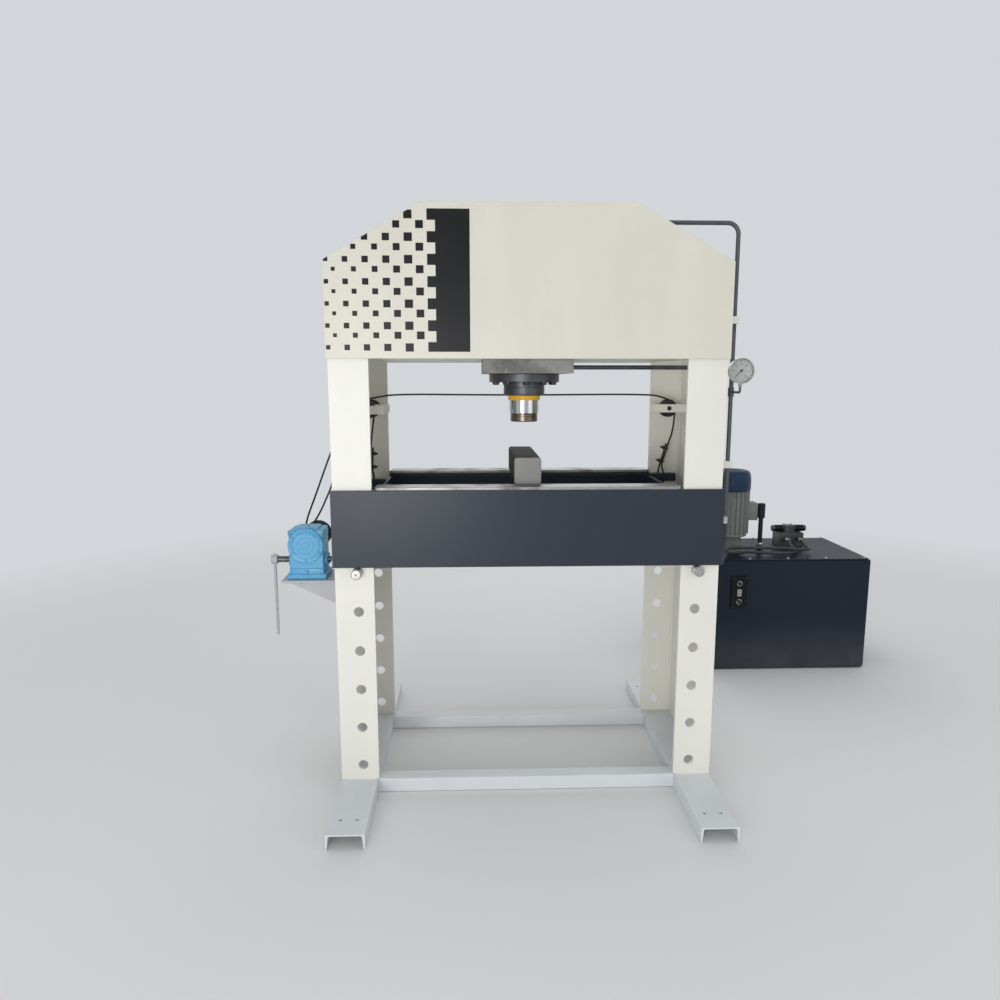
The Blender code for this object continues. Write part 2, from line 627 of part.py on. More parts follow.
def build_ram_unit():
    """The mounting plate, flanged barrel, gland, wiper ring, ram with its piston, and nose ring."""
    axis = (0, depth(RAM_DEPTH), 0)
    half = MOUNT_PLATE_DEPTH / 2
    bottom = PLATE_TOP - MOUNT_PLATE_THICK
    outline = rectangle((-MOUNT_PLATE_WIDTH / 2, axis[1] - half), (MOUNT_PLATE_WIDTH / 2, axis[1] + half),
        0.006)
    hole = circle((0, axis[1]), BARREL_RADIUS + BARREL_PLAY, RAM_FACETS)
    plate("cylinder_mount_plate", [outline, hole], "XY", (bottom + PLATE_TOP) / 2, MOUNT_PLATE_THICK,
        DARK_STEEL)
    flange_low = FLANGE_TOP - FLANGE_HEIGHT
    cap_low = BARREL_TOP - BARREL_CAP_THICK
    port_radius = PIPE_RADIUS + 0.010
    barrel = [(0, BARREL_TOP + 0.025), (port_radius, BARREL_TOP + 0.025), (port_radius, BARREL_TOP),
              (BARREL_RADIUS - 0.006, BARREL_TOP), (BARREL_RADIUS, BARREL_TOP - 0.006),
              (BARREL_RADIUS, FLANGE_TOP), (FLANGE_RADIUS - EDGE, FLANGE_TOP),
              (FLANGE_RADIUS, FLANGE_TOP - EDGE), (FLANGE_RADIUS, flange_low + EDGE),
              (FLANGE_RADIUS - EDGE, flange_low), (BORE_RADIUS, flange_low),
              (BORE_RADIUS, cap_low), (0, cap_low)]
    turned("cylinder_barrel", barrel, axis, DARK_STEEL, steps=RAM_FACETS)
    gland_low = GLAND_TOP - GLAND_HEIGHT
    spigot = BORE_RADIUS - RUNNING
    bore = RAM_RADIUS + RUNNING
    gland = [(bore, GLAND_TOP + GLAND_SPIGOT), (spigot - EDGE, GLAND_TOP + GLAND_SPIGOT),
             (spigot, GLAND_TOP + GLAND_SPIGOT - EDGE), (spigot, GLAND_TOP), (GLAND_RADIUS, GLAND_TOP),
             (GLAND_RADIUS, gland_low + 0.004), (GLAND_RADIUS - 0.004, gland_low), (bore, gland_low)]
    turned("cylinder_gland", gland, axis, DARK_STEEL, steps=RAM_FACETS, closed=True)
    wiper_high = gland_low - SEAT
    wiper = [(bore, wiper_high), (WIPER_RADIUS, wiper_high),
        (WIPER_RADIUS, wiper_high - WIPER_HEIGHT + 0.004),
             (WIPER_RADIUS - 0.003, wiper_high - WIPER_HEIGHT), (bore, wiper_high - WIPER_HEIGHT)]
    turned("wiper_ring", wiper, axis, YELLOW_SEAL, steps=RAM_FACETS, closed=True)
    piston_high = PISTON_LOW + PISTON_HEIGHT
    ram = [(0, piston_high), (spigot - EDGE, piston_high), (spigot, piston_high - EDGE),
           (spigot, PISTON_LOW), (RAM_RADIUS, PISTON_LOW), (RAM_RADIUS, RAM_BOTTOM + EDGE),
           (RAM_RADIUS - EDGE, RAM_BOTTOM), (NOSE_SPIGOT_RADIUS, RAM_BOTTOM),
           (NOSE_SPIGOT_RADIUS, RAM_BOTTOM - NOSE_SPIGOT), (0, RAM_BOTTOM - NOSE_SPIGOT)]
    turned("ram", ram, axis, HARD_CHROME, steps=RAM_FACETS)
    nose_high = RAM_BOTTOM - SEAT
    nose_low = nose_high - NOSE_HEIGHT
    socket = NOSE_SPIGOT_RADIUS + RUNNING
    socket_floor = RAM_BOTTOM - NOSE_SPIGOT - SEAT
    nose = [(0, socket_floor), (socket, socket_floor), (socket, nose_high), (NOSE_RADIUS - EDGE, nose_high),
            (NOSE_RADIUS, nose_high - EDGE), (NOSE_RADIUS, nose_low + 0.003),
             (NOSE_RADIUS - 0.003, nose_low),
            (0, nose_low)]
    turned("ram_nose", nose, axis, TURNED_STEEL, steps=RAM_FACETS)


def bed_section():
    """A channel section with its web at depth 0 and flanges that reach back, (depth, height) points."""
    top, bottom = BED_HIGH, BED_LOW
    inner_top, inner_bottom = top - BED_FLANGE_THICK, bottom + BED_FLANGE_THICK
    root = BED_ROOT_RADIUS
    upper = arc((BED_WEB + root, inner_top - root), root, 180, 90, 3)
    lower = arc((BED_WEB + root, inner_bottom + root), root, 270, 180, 3)
    return [(0, bottom), (BED_FLANGE_REACH, bottom), (BED_FLANGE_REACH, inner_bottom), *lower, *upper,
            (BED_FLANGE_REACH, inner_top), (BED_FLANGE_REACH, top), (0, top)]


def build_bed():
    """Two notched channels, their end plates with rope lugs, the flat rests and the loose press bar."""
    web_face = BED_WEB + SIDE_PLAY
    for which, start, way in (("front", -web_face, 1), ("rear", UPRIGHT_DEPTH + web_face, -1)):
        points = [(depth(start + way * back), height) for back, height in bed_section()]
        channel = placed(plate_mesh([points], 2 * BED_HALF_LENGTH), turn=PLANES["YZ"])
        behind = sorted((depth(start + way * (BED_WEB - SEAT)), depth(start + way * 2 * BED_FLANGE_REACH)))
        notches = [box_mesh((min(sign * BED_FLANGE_HALF, sign), behind[0], BED_LOW - 0.1),
                            (max(sign * BED_FLANGE_HALF, sign), behind[1], BED_HIGH + 0.1))
                   for sign in (-1, 1)]
        adopt(f"bed_{which}_channel", joined([channel, *notches], "DIFFERENCE"), SLATE)
    inside = (depth(-SIDE_PLAY + SEAT), depth(UPRIGHT_DEPTH + SIDE_PLAY - SEAT))
    low, high = BED_LOW + BED_FLANGE_THICK + SEAT, BED_HIGH - BED_FLANGE_THICK - SEAT
    clip = BED_ROOT_RADIUS
    face = [(inside[0] + clip, low), (inside[1] - clip, low), (inside[1], low + clip),
        (inside[1], high - clip),
            (inside[1] - clip, high), (inside[0] + clip, high), (inside[0], high - clip),
             (inside[0], low + clip)]
    for side, sign, block_front in (("left", -1, NEAR_BLOCK_FRONT), ("right", 1, FAR_BLOCK_FRONT)):
        outer = BED_FLANGE_HALF
        end = placed(plate_mesh([face], BED_END_THICK), (sign * (outer - BED_END_THICK / 2), 0, 0),
            PLANES["YZ"])
        middle = depth(sheave_depth(block_front))
        reach = sorted((sign * (outer - BED_END_THICK / 2), sign * (outer + LUG_REACH)))
        lug = box_mesh((reach[0], middle - LUG_SIDE / 2, LUG_TOP - LUG_SIDE),
                       (reach[1], middle + LUG_SIDE / 2, LUG_TOP), 0.002, 1)
        adopt(f"{side}_bed_end_plate", joined([end, lug]), SLATE)
    for which, start in (("front", -web_face), ("rear", UPRIGHT_DEPTH + web_face - BED_REST_DEPTH)):
        outline = rectangle((-BED_REST_HALF, depth(start)), (BED_REST_HALF, depth(start + BED_REST_DEPTH)),
                            BED_REST_CORNER)
        plate(f"{which}_bed_rest", [outline], "XY", REST_TOP - BED_REST_THICK / 2, BED_REST_THICK,
            MILL_STEEL)
    half = PRESS_BAR_SIDE / 2
    section = rectangle((-half, -half), (half, half), PRESS_BAR_ROUND, 4)
    bar = placed(plate_mesh([section], PRESS_BAR_LENGTH), turn=PLANES["XZ"])
    adopt("press_bar", bar, MILL_STEEL,
          (0, depth(PRESS_BAR_FRONT + PRESS_BAR_LENGTH / 2), REST_TOP + SEAT + half))
    for side, sign in (("left", -1), ("right", 1)):
        profile = rod_profile(PIN_RADIUS, -PIN_PROUD, UPRIGHT_DEPTH + PIN_PROUD, EDGE)
        turned(f"{side}_bed_pin", profile, (sign * HOLE_X, depth(0), PIN_HEIGHT), BRIGHT_STEEL, "Y", 28)


def build_pulleys():
    """The cross pin and the grooved sheave of each block on the webs."""
    for name, sign, front in PULLEY_BLOCKS:
        length = BLOCK_GAP + 2 * (STRAP_THICK + PULLEY_PIN_PROUD)
        middle = (sign * PULLEY_X, depth(sheave_depth(front)), PULLEY_HEIGHT)
        turned(f"{name}_pulley_pin", rod_profile(PULLEY_PIN_RADIUS, -length / 2, length / 2, 0.001), middle,
               DARK_STEEL, "Y", 20)
        half = SHEAVE_WIDTH / 2
        bore = PULLEY_PIN_RADIUS + RUNNING
        groove = ROPE_RADIUS + 0.0004
        floor = [(GROOVE_RADIUS + groove - groove * math.cos(math.radians(a)),
            -groove * math.sin(math.radians(a)))
                 for a in (-55, 0, 55)]
        rim = [(bore, half), (0.016, half), (0.016, GROOVE_HALF_WIDTH + 0.004),
            (SHEAVE_RADIUS, GROOVE_HALF_WIDTH + 0.004),
               (SHEAVE_RADIUS, GROOVE_HALF_WIDTH - 0.004), *floor,
                (SHEAVE_RADIUS, 0.004 - GROOVE_HALF_WIDTH),
               (SHEAVE_RADIUS, -GROOVE_HALF_WIDTH - 0.004), (0.016, -GROOVE_HALF_WIDTH - 0.004),
                (0.016, -half), (bore, -half)]
        turned(f"{name}_sheave", rim, middle, ROPE_STEEL, "Y", 24, closed=True)


NEAR = sheave_depth(NEAR_BLOCK_FRONT)
FAR = sheave_depth(FAR_BLOCK_FRONT)
def climb(share):
    """The height at this share of a rope's rise from the drum's axis to the pulleys' axis."""
    return WHEEL_Z + share * (PULLEY_HEIGHT - WHEEL_Z)


def hang(share):
    """The height at this share of a drop's run from the lug's top up to where it leaves its sheave."""
    return LUG_TOP + share * (DROP_TOP - LUG_TOP)


LEFT_ROPE_ROUTE = [
    (-0.9180, 0.262, climb(0.0101)), (-0.9145, 0.262, climb(0.0678)), (-0.9040, 0.262, climb(0.1627)),
    (-0.8640, 0.268, climb(0.3621)),
    (-0.8130, 0.276, climb(0.6195)), (-0.7750, 0.305, climb(0.8025)), (-0.7440, 0.342, climb(0.9108)),
    (-0.7300, 0.355, PULLEY_HEIGHT - 0.0270),
    (-0.7170, NEAR, PULLEY_HEIGHT - 0.0090), (-0.6960, NEAR, PULLEY_HEIGHT + 0.0170),
    (-0.6780, NEAR, PULLEY_HEIGHT + 0.0330), (-0.6600, NEAR, PULLEY_HEIGHT + 0.0365),
    (-0.6430, NEAR, PULLEY_HEIGHT + 0.0310),
    (-0.6300, NEAR, PULLEY_HEIGHT + 0.0170), (-0.6255, NEAR, PULLEY_HEIGHT + 0.0000),
    (-0.6290, NEAR, PULLEY_HEIGHT - 0.0170), (-0.6320, NEAR, PULLEY_HEIGHT - 0.0260),
    (-0.6320, NEAR, DROP_TOP)]
LEFT_DROP_ROUTE = [
    (-0.6320, NEAR, DROP_TOP), (-0.6320, NEAR, hang(0.9809)), (-0.6370, NEAR, hang(0.8661)),
    (-0.6430, NEAR, hang(0.6940)),
    (-0.6475, NEAR, hang(0.5256))]
CROSS_ROPE_ROUTE = [
    (-0.9122, 0.327, climb(0.0412)), (-0.8925, 0.327, climb(0.0982)), (-0.8660, 0.324, climb(0.1798)),
    (-0.8430, 0.322, climb(0.2671)),
    (-0.8140, 0.328, climb(0.3976)), (-0.7900, 0.378, climb(0.5899)), (-0.7660, 0.440, climb(0.7608)),
    (-0.7450, 0.492, climb(0.8690)),
    (-0.7290, 0.517, climb(0.9298)), (-0.7150, FAR, PULLEY_HEIGHT - 0.0110),
    (-0.6970, FAR, PULLEY_HEIGHT + 0.0180), (-0.6720, FAR, PULLEY_HEIGHT + 0.0400),
    (-0.6430, FAR, PULLEY_HEIGHT + 0.0480),
    (-0.5720, FAR, PULLEY_HEIGHT + 0.0585), (-0.4500, FAR, PULLEY_HEIGHT + 0.0615),
    (-0.3000, FAR, PULLEY_HEIGHT + 0.0605), (-0.1500, FAR, PULLEY_HEIGHT + 0.0595),
    (0.0000, FAR, PULLEY_HEIGHT + 0.0590), (0.1500, FAR, PULLEY_HEIGHT + 0.0595),
    (0.3000, FAR, PULLEY_HEIGHT + 0.0605), (0.4500, FAR, PULLEY_HEIGHT + 0.0610),
    (0.5800, FAR, PULLEY_HEIGHT + 0.0582), (0.6250, FAR, PULLEY_HEIGHT + 0.0510),
    (0.6560, FAR, PULLEY_HEIGHT + 0.0400), (0.6810, FAR, PULLEY_HEIGHT + 0.0290),
    (0.6950, FAR, PULLEY_HEIGHT + 0.0140), (0.6985, FAR, PULLEY_HEIGHT - 0.0030),
    (0.6950, FAR, PULLEY_HEIGHT - 0.0180),
    (0.6925, FAR, PULLEY_HEIGHT - 0.0260), (0.6925, FAR, DROP_TOP)]
RIGHT_DROP_ROUTE = [
    (0.6925, FAR, DROP_TOP), (0.6925, FAR, hang(0.9809)), (0.6895, FAR, hang(0.8317)),
    (0.6820, FAR, hang(0.6672)),
    (0.6710, FAR, hang(0.5409))]
LOOP_TOP = {"left": (-0.6475, LUG_TOP + 0.1371), "right": (0.6710, LUG_TOP + 0.1411)}
LOOP_NECK = {"left": (-0.6520, LUG_TOP + 0.0404), "right": (0.6430, LUG_TOP + 0.0404)}
STRAND_GAP = 2 * ROPE_RADIUS + 0.0008
LOOP_SPLAY = 0.008
LOOP_STAND_OFF = 0.0025
LOOP_ROUND = 0.010
TAIL_LENGTH = 0.094
CLIP_SHARES = (0.30, 0.88)


def loop_route(side, sign, middle):
    """A rope end: down to its lug, round the lug from front to back, and up again as the short tail."""
    top, neck = Vector(LOOP_TOP[side]), Vector(LOOP_NECK[side])
    run = (neck - top).normalized()
    aside = Vector((run.y, -run.x)) * STRAND_GAP
    if aside.x * sign > 0:
        aside = -aside
    reach = LUG_SIDE / 2 + ROPE_RADIUS + LOOP_STAND_OFF
    low = LUG_TOP - LUG_SIDE - ROPE_RADIUS - LOOP_STAND_OFF + LOOP_ROUND
    tail_low = neck + aside
    tail_high = tail_low - run * TAIL_LENGTH
    halves = []
    for way, high, knot, splay in ((-1, top, neck, 0.5), (1, tail_high, tail_low, -0.5)):
        x = knot.x + sign * splay * LOOP_SPLAY
        strand = smooth_route([(high.x, middle, high.y), ((high.x + knot.x) / 2, middle,
            (high.y + knot.y) / 2),
                               (knot.x, middle, knot.y), (x, middle + way * reach, LUG_TOP - 0.006),
                               (x, middle + way * reach, low)], 0.016)
        corner = arc((middle + way * (reach - LOOP_ROUND), low), LOOP_ROUND, 0 if way > 0 else 180, 270, 3)
        if way > 0:
            corner = arc((middle + reach - LOOP_ROUND, low), LOOP_ROUND, 0, -90, 3)
        halves.append(strand + [Vector((x, y, z)) for y, z in corner[1:]])
    return halves[0] + halves[1][::-1]


def clip_meshes():
    """One rope clip's pieces on the tail strand along Z: saddle and nuts on +X, U bolt round both strands."""
    wire = 0.0025
    reach = ROPE_RADIUS - 0.0004 + wire
    bow = [(-STRAND_GAP + reach * math.cos(math.radians(a)), reach * math.sin(math.radians(a)), 0)
           for a in range(90, 271, 36)]
    legs = 0.022
    u_bolt = tube_mesh([(legs, reach, 0), *bow, (legs, -reach, 0)], wire, 1)
    saddle_low = ROPE_RADIUS - 0.0008
    saddle = box_mesh((saddle_low, -0.014, -0.007), (saddle_low + 0.009, 0.014, 0.007))
    nuts = [placed(turned_mesh(rod_profile(0.0055, 0, 0.006), 6), (saddle_low + 0.0085, side * reach, 0),
        (0, math.pi / 2, 0))
            for side in (-1, 1)]
    return [saddle, u_bolt, *nuts]


def build_ropes():
    """Both ropes: their runs over the sheaves, the two hanging drops, and the looped ends in their clips."""
    for name, route in (("left_rope", LEFT_ROPE_ROUTE), ("cross_rope", CROSS_ROPE_ROUTE)):
        points = smooth_route([(x, depth(back), z) for x, back, z in route], 0.040)
        tube(name, points, ROPE_RADIUS, ROPE_STEEL, 1)
    for name, route in (("left_rope_drop", LEFT_DROP_ROUTE), ("right_rope_drop", RIGHT_DROP_ROUTE)):
        points = smooth_route([(x, depth(back), z - SEAT if z == DROP_TOP else z) for x, back, z in route],
            0.030)
        tube(name, points, ROPE_RADIUS, ROPE_STEEL, 1)
    for side, sign, back in (("left", -1, NEAR), ("right", 1, FAR)):
        pieces = [tube_mesh(loop_route(side, sign, depth(back)), ROPE_RADIUS, 1)]
        top, neck = Vector(LOOP_TOP[side]), Vector(LOOP_NECK[side])
        tilt = math.atan2(top.x - neck.x, top.y - neck.y)
        inward = Vector((-math.cos(tilt), math.sin(tilt))) * sign * STRAND_GAP
        for share in CLIP_SHARES:
            place = top.lerp(neck, share) + inward
            turn = Matrix.Rotation(tilt, 4, "Y") @ (Matrix.Rotation(math.pi, 4,
                "Z") if sign > 0 else Matrix.Identity(4))
            for piece in clip_meshes():
                piece.transform(Matrix.Translation((place.x, depth(back), place.y)) @ turn)
                pieces.append(piece)
        adopt(f"{side}_rope_loop", joined(pieces, solver="MANIFOLD"), ROPE_STEEL)


def build_winch():
    """The bracket on the left web, the worm gearbox, its crank, and the drum with its rope turns."""
    web_x = -OUTER_X - SEAT
    near, far = depth(SHELF_FRONT), depth(SHELF_FRONT + SHELF_DEPTH)
    shelf_low = SHELF_TOP - SHELF_THICK
    back = box_mesh((web_x - BACK_PLATE_THICK, near, SHELF_TOP - BACK_PLATE_DROP), (web_x, far, SHELF_TOP))
    shelf = box_mesh((web_x - SHELF_OUT, near, shelf_low), (web_x - BACK_PLATE_THICK / 2, far, SHELF_TOP))
    pieces = [back, shelf]
    inner = web_x - BACK_PLATE_THICK / 2
    for start in (near + 0.004, far - 0.004 - GUSSET_THICK):
        outline = [(web_x - SHELF_OUT + 0.045, shelf_low + 0.002), (inner, shelf_low + 0.002),
                   (inner, SHELF_TOP - BACK_PLATE_DROP + 0.020),
                    (web_x - BACK_PLATE_THICK - 0.004, SHELF_TOP - BACK_PLATE_DROP + 0.020),
                   (web_x - SHELF_OUT + 0.045, shelf_low - 0.004)]
        pieces.append(placed(plate_mesh([outline], GUSSET_THICK), (0, start + GUSSET_THICK / 2, 0),
            PLANES["XZ"]))
    adopt("winch_bracket", joined(pieces), PALE_GREY)
    base = SHELF_TOP + SEAT
    front, rear = depth(GEARBOX_FRONT), depth(GEARBOX_REAR)
    half, foot_half, tunnel = GEARBOX_WIDTH / 2, GEARBOX_FOOT_WIDTH / 2, WORM_TUNNEL_LENGTH / 2
    middle = depth(GEARBOX_MID)
    foot = box_mesh((GEARBOX_X - foot_half, front - 0.008, base),
        (GEARBOX_X + foot_half, rear + 0.008, base + GEARBOX_FOOT_HEIGHT), 0.003, 1)
    body = box_mesh((GEARBOX_X - half, front, base + GEARBOX_FOOT_HEIGHT / 2),
        (GEARBOX_X + half, rear, base + GEARBOX_HEIGHT), 0.007, 2)
    sleeve = placed(turned_mesh(rod_profile(WORM_TUNNEL_RADIUS, -tunnel, tunnel, 0.003), 28),
        (GEARBOX_X, middle, WORM_Z), (0, math.pi / 2, 0))
    boss = placed(turned_mesh(rod_profile(0.042, 0, 0.006, 0.002), 28), (GEARBOX_X, rear - 0.001, WHEEL_Z),
        (-math.pi / 2, 0, 0))
    crown = box_mesh((GEARBOX_X - half + 0.022, front + 0.012, base + GEARBOX_HEIGHT - 0.010),
                     (GEARBOX_X + half - 0.022, rear - 0.012, base + GEARBOX_HEIGHT + 0.008), 0.004, 1)
    housing = joined([body, foot, sleeve, boss, crown])
    worm_bore = placed(turned_mesh(rod_profile(WORM_RADIUS + RUNNING, -0.2, 0.2), 24),
        (GEARBOX_X, middle, WORM_Z), (0, math.pi / 2, 0))
    blind = placed(turned_mesh(rod_profile(OUTPUT_RADIUS + RUNNING, -OUTPUT_BLIND, 0.1), 24),
        (GEARBOX_X, rear, WHEEL_Z), (-math.pi / 2, 0, 0))
    adopt("gearbox_housing", joined([housing, worm_bore, blind], "DIFFERENCE"), GEAR_BLUE)
    cover = [(0, COVER_THICK - 0.003), (COVER_RADIUS - 0.016, COVER_THICK - 0.003),
        (COVER_RADIUS - 0.013, COVER_THICK),
             (COVER_RADIUS - 0.002, COVER_THICK), (COVER_RADIUS, COVER_THICK - 0.002), (COVER_RADIUS, 0),
              (0, 0)]
    made = turned("gearbox_cover", cover, (GEARBOX_X, front - SEAT, WHEEL_Z), GEAR_BLUE, "Y", 32)
    made.rotation_euler = (math.pi / 2, 0, 0)
    left_end = -tunnel - CRANK_OUT
    turned("worm_shaft", rod_profile(WORM_RADIUS, left_end, tunnel + 0.012, 0.0015),
        (GEARBOX_X, middle, WORM_Z), BRIGHT_STEEL, "X", 24)
    hub_x = GEARBOX_X + left_end - 0.004
    hub = [(WORM_RADIUS + RUNNING, CRANK_HUB_LENGTH), (CRANK_HUB_RADIUS, CRANK_HUB_LENGTH),
        (CRANK_HUB_RADIUS, 0), (WORM_RADIUS + RUNNING, 0)]
    hub_mesh = placed(turned_mesh(hub, 24, closed=True), (hub_x, middle, WORM_Z), (0, math.pi / 2, 0))
    rod_x = hub_x + CRANK_HUB_LENGTH / 2
    rod = placed(turned_mesh(rod_profile(CRANK_ROD_RADIUS, -CRANK_LENGTH, -WORM_RADIUS - 0.003, 0.0015),
        14), (rod_x, middle, WORM_Z))
    adopt("crank_arm", joined([hub_mesh, rod]), PALE_GREY, origin=(rod_x, middle, WORM_Z))
    shaft_end = DRUM_GAP + DRUM_LENGTH + 0.010
    flange_in, flange_out = DRUM_GAP, DRUM_GAP + DRUM_LENGTH
    drum = [(0, shaft_end), (OUTPUT_RADIUS, shaft_end), (OUTPUT_RADIUS, flange_out),
        (DRUM_FLANGE_RADIUS, flange_out),
            (DRUM_FLANGE_RADIUS, flange_out - DRUM_FLANGE_THICK),
             (DRUM_CORE_RADIUS, flange_out - DRUM_FLANGE_THICK),
            (DRUM_CORE_RADIUS, flange_in + DRUM_FLANGE_THICK),
             (DRUM_FLANGE_RADIUS, flange_in + DRUM_FLANGE_THICK),
            (DRUM_FLANGE_RADIUS, flange_in), (OUTPUT_RADIUS, flange_in),
             (OUTPUT_RADIUS, SEAT - OUTPUT_BLIND), (0, SEAT - OUTPUT_BLIND)]
    turned("rope_drum", drum, (GEARBOX_X, rear, WHEEL_Z), DARK_STEEL, "Y", 20)
    pitch = 2 * ROPE_RADIUS
    start = COIL_FRONT - GEARBOX_REAR
    inner = DRUM_CORE_RADIUS + SEAT
    ridges = []
    for turn_number in range(ROPE_TURNS):
        centre = start + pitch * (ROPE_TURNS - turn_number - 0.5)
        ridges += [(COIL_RADIUS - SEAT + ROPE_RADIUS * math.cos(math.radians(a)) - ROPE_RADIUS * 0.15,
            centre + ROPE_RADIUS * math.sin(math.radians(a)))
                   for a in (90, 0)]
    ridges.append((ridges[-1][0], start))
    profile = [(inner, start + pitch * ROPE_TURNS), *ridges, (inner, start)]
    turned("drum_rope_turns", profile, (GEARBOX_X, rear, WHEEL_Z), ROPE_STEEL, "Y", 20, closed=True)


def build_pipes():
    """Both steel pipes down the right upright, and the pressure gauge with its needle."""
    line = depth(RAM_DEPTH)
    top = BARREL_TOP + 0.025 + SEAT
    tee = GAUGE_STEM_HEIGHT
    pressure = bent_route([(0, line, top), (0, line, PIPE_RUN_HEIGHT),
        (PRESSURE_DROP_X, line, PIPE_RUN_HEIGHT),
                           (PRESSURE_DROP_X, line, PIPE_LOW)], PIPE_BEND)
    fitting = placed(turned_mesh(rod_profile(0.013, -0.020, 0.020, 0.002), 6), (PRESSURE_DROP_X, line, tee))
    gauge_back = depth(GAUGE_FRONT + GAUGE_DEPTH)
    stem = bent_route([(PRESSURE_DROP_X, line, tee), (GAUGE_X, depth(GAUGE_FRONT + GAUGE_DEPTH / 2), tee),
                       (GAUGE_X, depth(GAUGE_FRONT + GAUGE_DEPTH / 2),
                        GAUGE_HEIGHT - GAUGE_RADIUS - 0.012)], 0.008, 3)
    ends = [placed(turned_mesh(rod_profile(0.0135, 0, 0.030, 0.002), 6),
        (PRESSURE_DROP_X, line, PIPE_LOW - 0.004))]
    adopt("pressure_pipe", joined([tube_mesh(pressure, PIPE_RADIUS), fitting, tube_mesh(stem, 0.005),
        *ends]), DARK_STEEL)
    start_x = MOUNT_PLATE_WIDTH / 2 + SEAT
    retract = bent_route([(start_x, line, RETRACT_HEIGHT), (RETRACT_DROP_X, line, RETRACT_HEIGHT),
        (RETRACT_DROP_X, line, PIPE_LOW)], 0.035)
    nuts = [placed(turned_mesh(rod_profile(0.015, 0, 0.026, 0.002), 6), (start_x, line, RETRACT_HEIGHT),
        (0, math.pi / 2, 0)),
            placed(turned_mesh(rod_profile(0.0135, 0, 0.030, 0.002), 6),
             (RETRACT_DROP_X, line, PIPE_LOW - 0.004))]
    adopt("retract_pipe", joined([tube_mesh(retract, PIPE_RADIUS), *nuts]), DARK_STEEL)
    wall = 0.003
    inner = GAUGE_RADIUS - wall
    case = [(0, 0), (GAUGE_RADIUS - 0.004, 0), (GAUGE_RADIUS, -0.004), (GAUGE_RADIUS, -GAUGE_DEPTH + 0.006),
            (GAUGE_RADIUS + 0.002, -GAUGE_DEPTH + 0.005), (GAUGE_RADIUS + 0.002, -GAUGE_DEPTH),
             (inner, -GAUGE_DEPTH),
            (inner, -GAUGE_DEPTH + 0.016), (0.004, -GAUGE_DEPTH + 0.016), (0.002, -GAUGE_DEPTH + 0.010),
             (0, -GAUGE_DEPTH + 0.010)]
    case_mesh = placed(turned_mesh(case, 28), (GAUGE_X, gauge_back, GAUGE_HEIGHT), (-math.pi / 2, 0, 0))
    socket = placed(turned_mesh(rod_profile(0.009, -GAUGE_RADIUS - 0.0115, -GAUGE_RADIUS + 0.004), 6),
                    (GAUGE_X, depth(GAUGE_FRONT + GAUGE_DEPTH / 2), GAUGE_HEIGHT))
    adopt("gauge_case", joined([case_mesh, socket]), BRIGHT_STEEL)
    hub = circle((0, 0), 0.0045, 12)
    needle = [(-0.0045, -0.010), (0.0045, -0.010), (0.0012, 0.036), (-0.0012, 0.036)]
    needle_y = depth(GAUGE_FRONT) + 0.0089
    blade = placed(plate_mesh([needle], 0.0012), turn=PLANES["XZ"])
    boss = placed(plate_mesh([hub], 0.0016), turn=PLANES["XZ"])
    swing = Matrix.Rotation(math.radians(-135), 4, "Y")
    made = joined([blade, boss])
    made.transform(swing)
    adopt("gauge_needle", made, BLACK_PANEL, (GAUGE_X, needle_y, GAUGE_HEIGHT))


def finned_outline(radius, fin, count):
    """A round body with straight cooling fins round it."""
    outline = []
    step = 360 / count
    for index in range(count):
        for share, reach in ((0.0, radius), (0.35, radius), (0.40, radius + fin), (0.95, radius + fin)):
            angle = math.radians((index + share) * step)
            outline.append((reach * math.cos(angle), reach * math.sin(angle)))
    return outline


HOSE_END = PACK_FRONT + VALVE_BACK + 0.002 - PORT_LENGTH - SEAT
PRESSURE_HOSE_ROUTE = [
    (0.871, 0.3095, 1.0755), (0.871, 0.3095, 1.040), (0.873, 0.316, 0.985), (0.884, 0.350, 0.925),
    (0.912, 0.440, 0.860), (0.965, 0.600, 0.800), (1.030, 0.790, 0.755), (1.100, 0.980, 0.726),
    (1.165, 1.140, 0.705), (1.215, 1.270, 0.688), (1.275, 1.345, 0.6683), (1.370, 1.372, 0.6683),
    (1.480, 1.350, 0.6683), (1.580, 1.330, 0.6683), (1.655, 1.365, 0.6683), (1.680, 1.440, 0.6690),
    (1.681, 1.485, 0.6780), (1.682, 1.532, 0.7000), (1.682, HOSE_END, 0.7000)]
RETURN_HOSE_ROUTE = [
    (0.800, 0.3095, 1.0755), (0.800, 0.3095, 1.040), (0.802, 0.320, 0.980), (0.812, 0.362, 0.905),
    (0.845, 0.470, 0.830), (0.905, 0.640, 0.775), (0.985, 0.830, 0.745), (1.075, 1.010, 0.735),
    (1.165, 1.175, 0.722), (1.240, 1.300, 0.706), (1.320, 1.385, 0.6900), (1.420, 1.400, 0.6865),
    (1.505, 1.393, 0.6870), (1.575, 1.375, 0.6885), (1.640, 1.353, 0.6892), (1.671, 1.347, 0.6880),
    (1.7054, 1.3539, 0.6860), (1.7346, 1.3734, 0.6832), (1.7541, 1.4026, 0.6805), (1.7610, 1.4370, 0.6786),
    (1.7608, 1.4570, 0.6790), (1.7606, 1.4775, 0.6817), (1.7604, 1.4980, 0.6890), (1.7602, 1.5185, 0.6963),
    (1.760, 1.5385, 0.6996), (1.760, HOSE_END, 0.7000)]


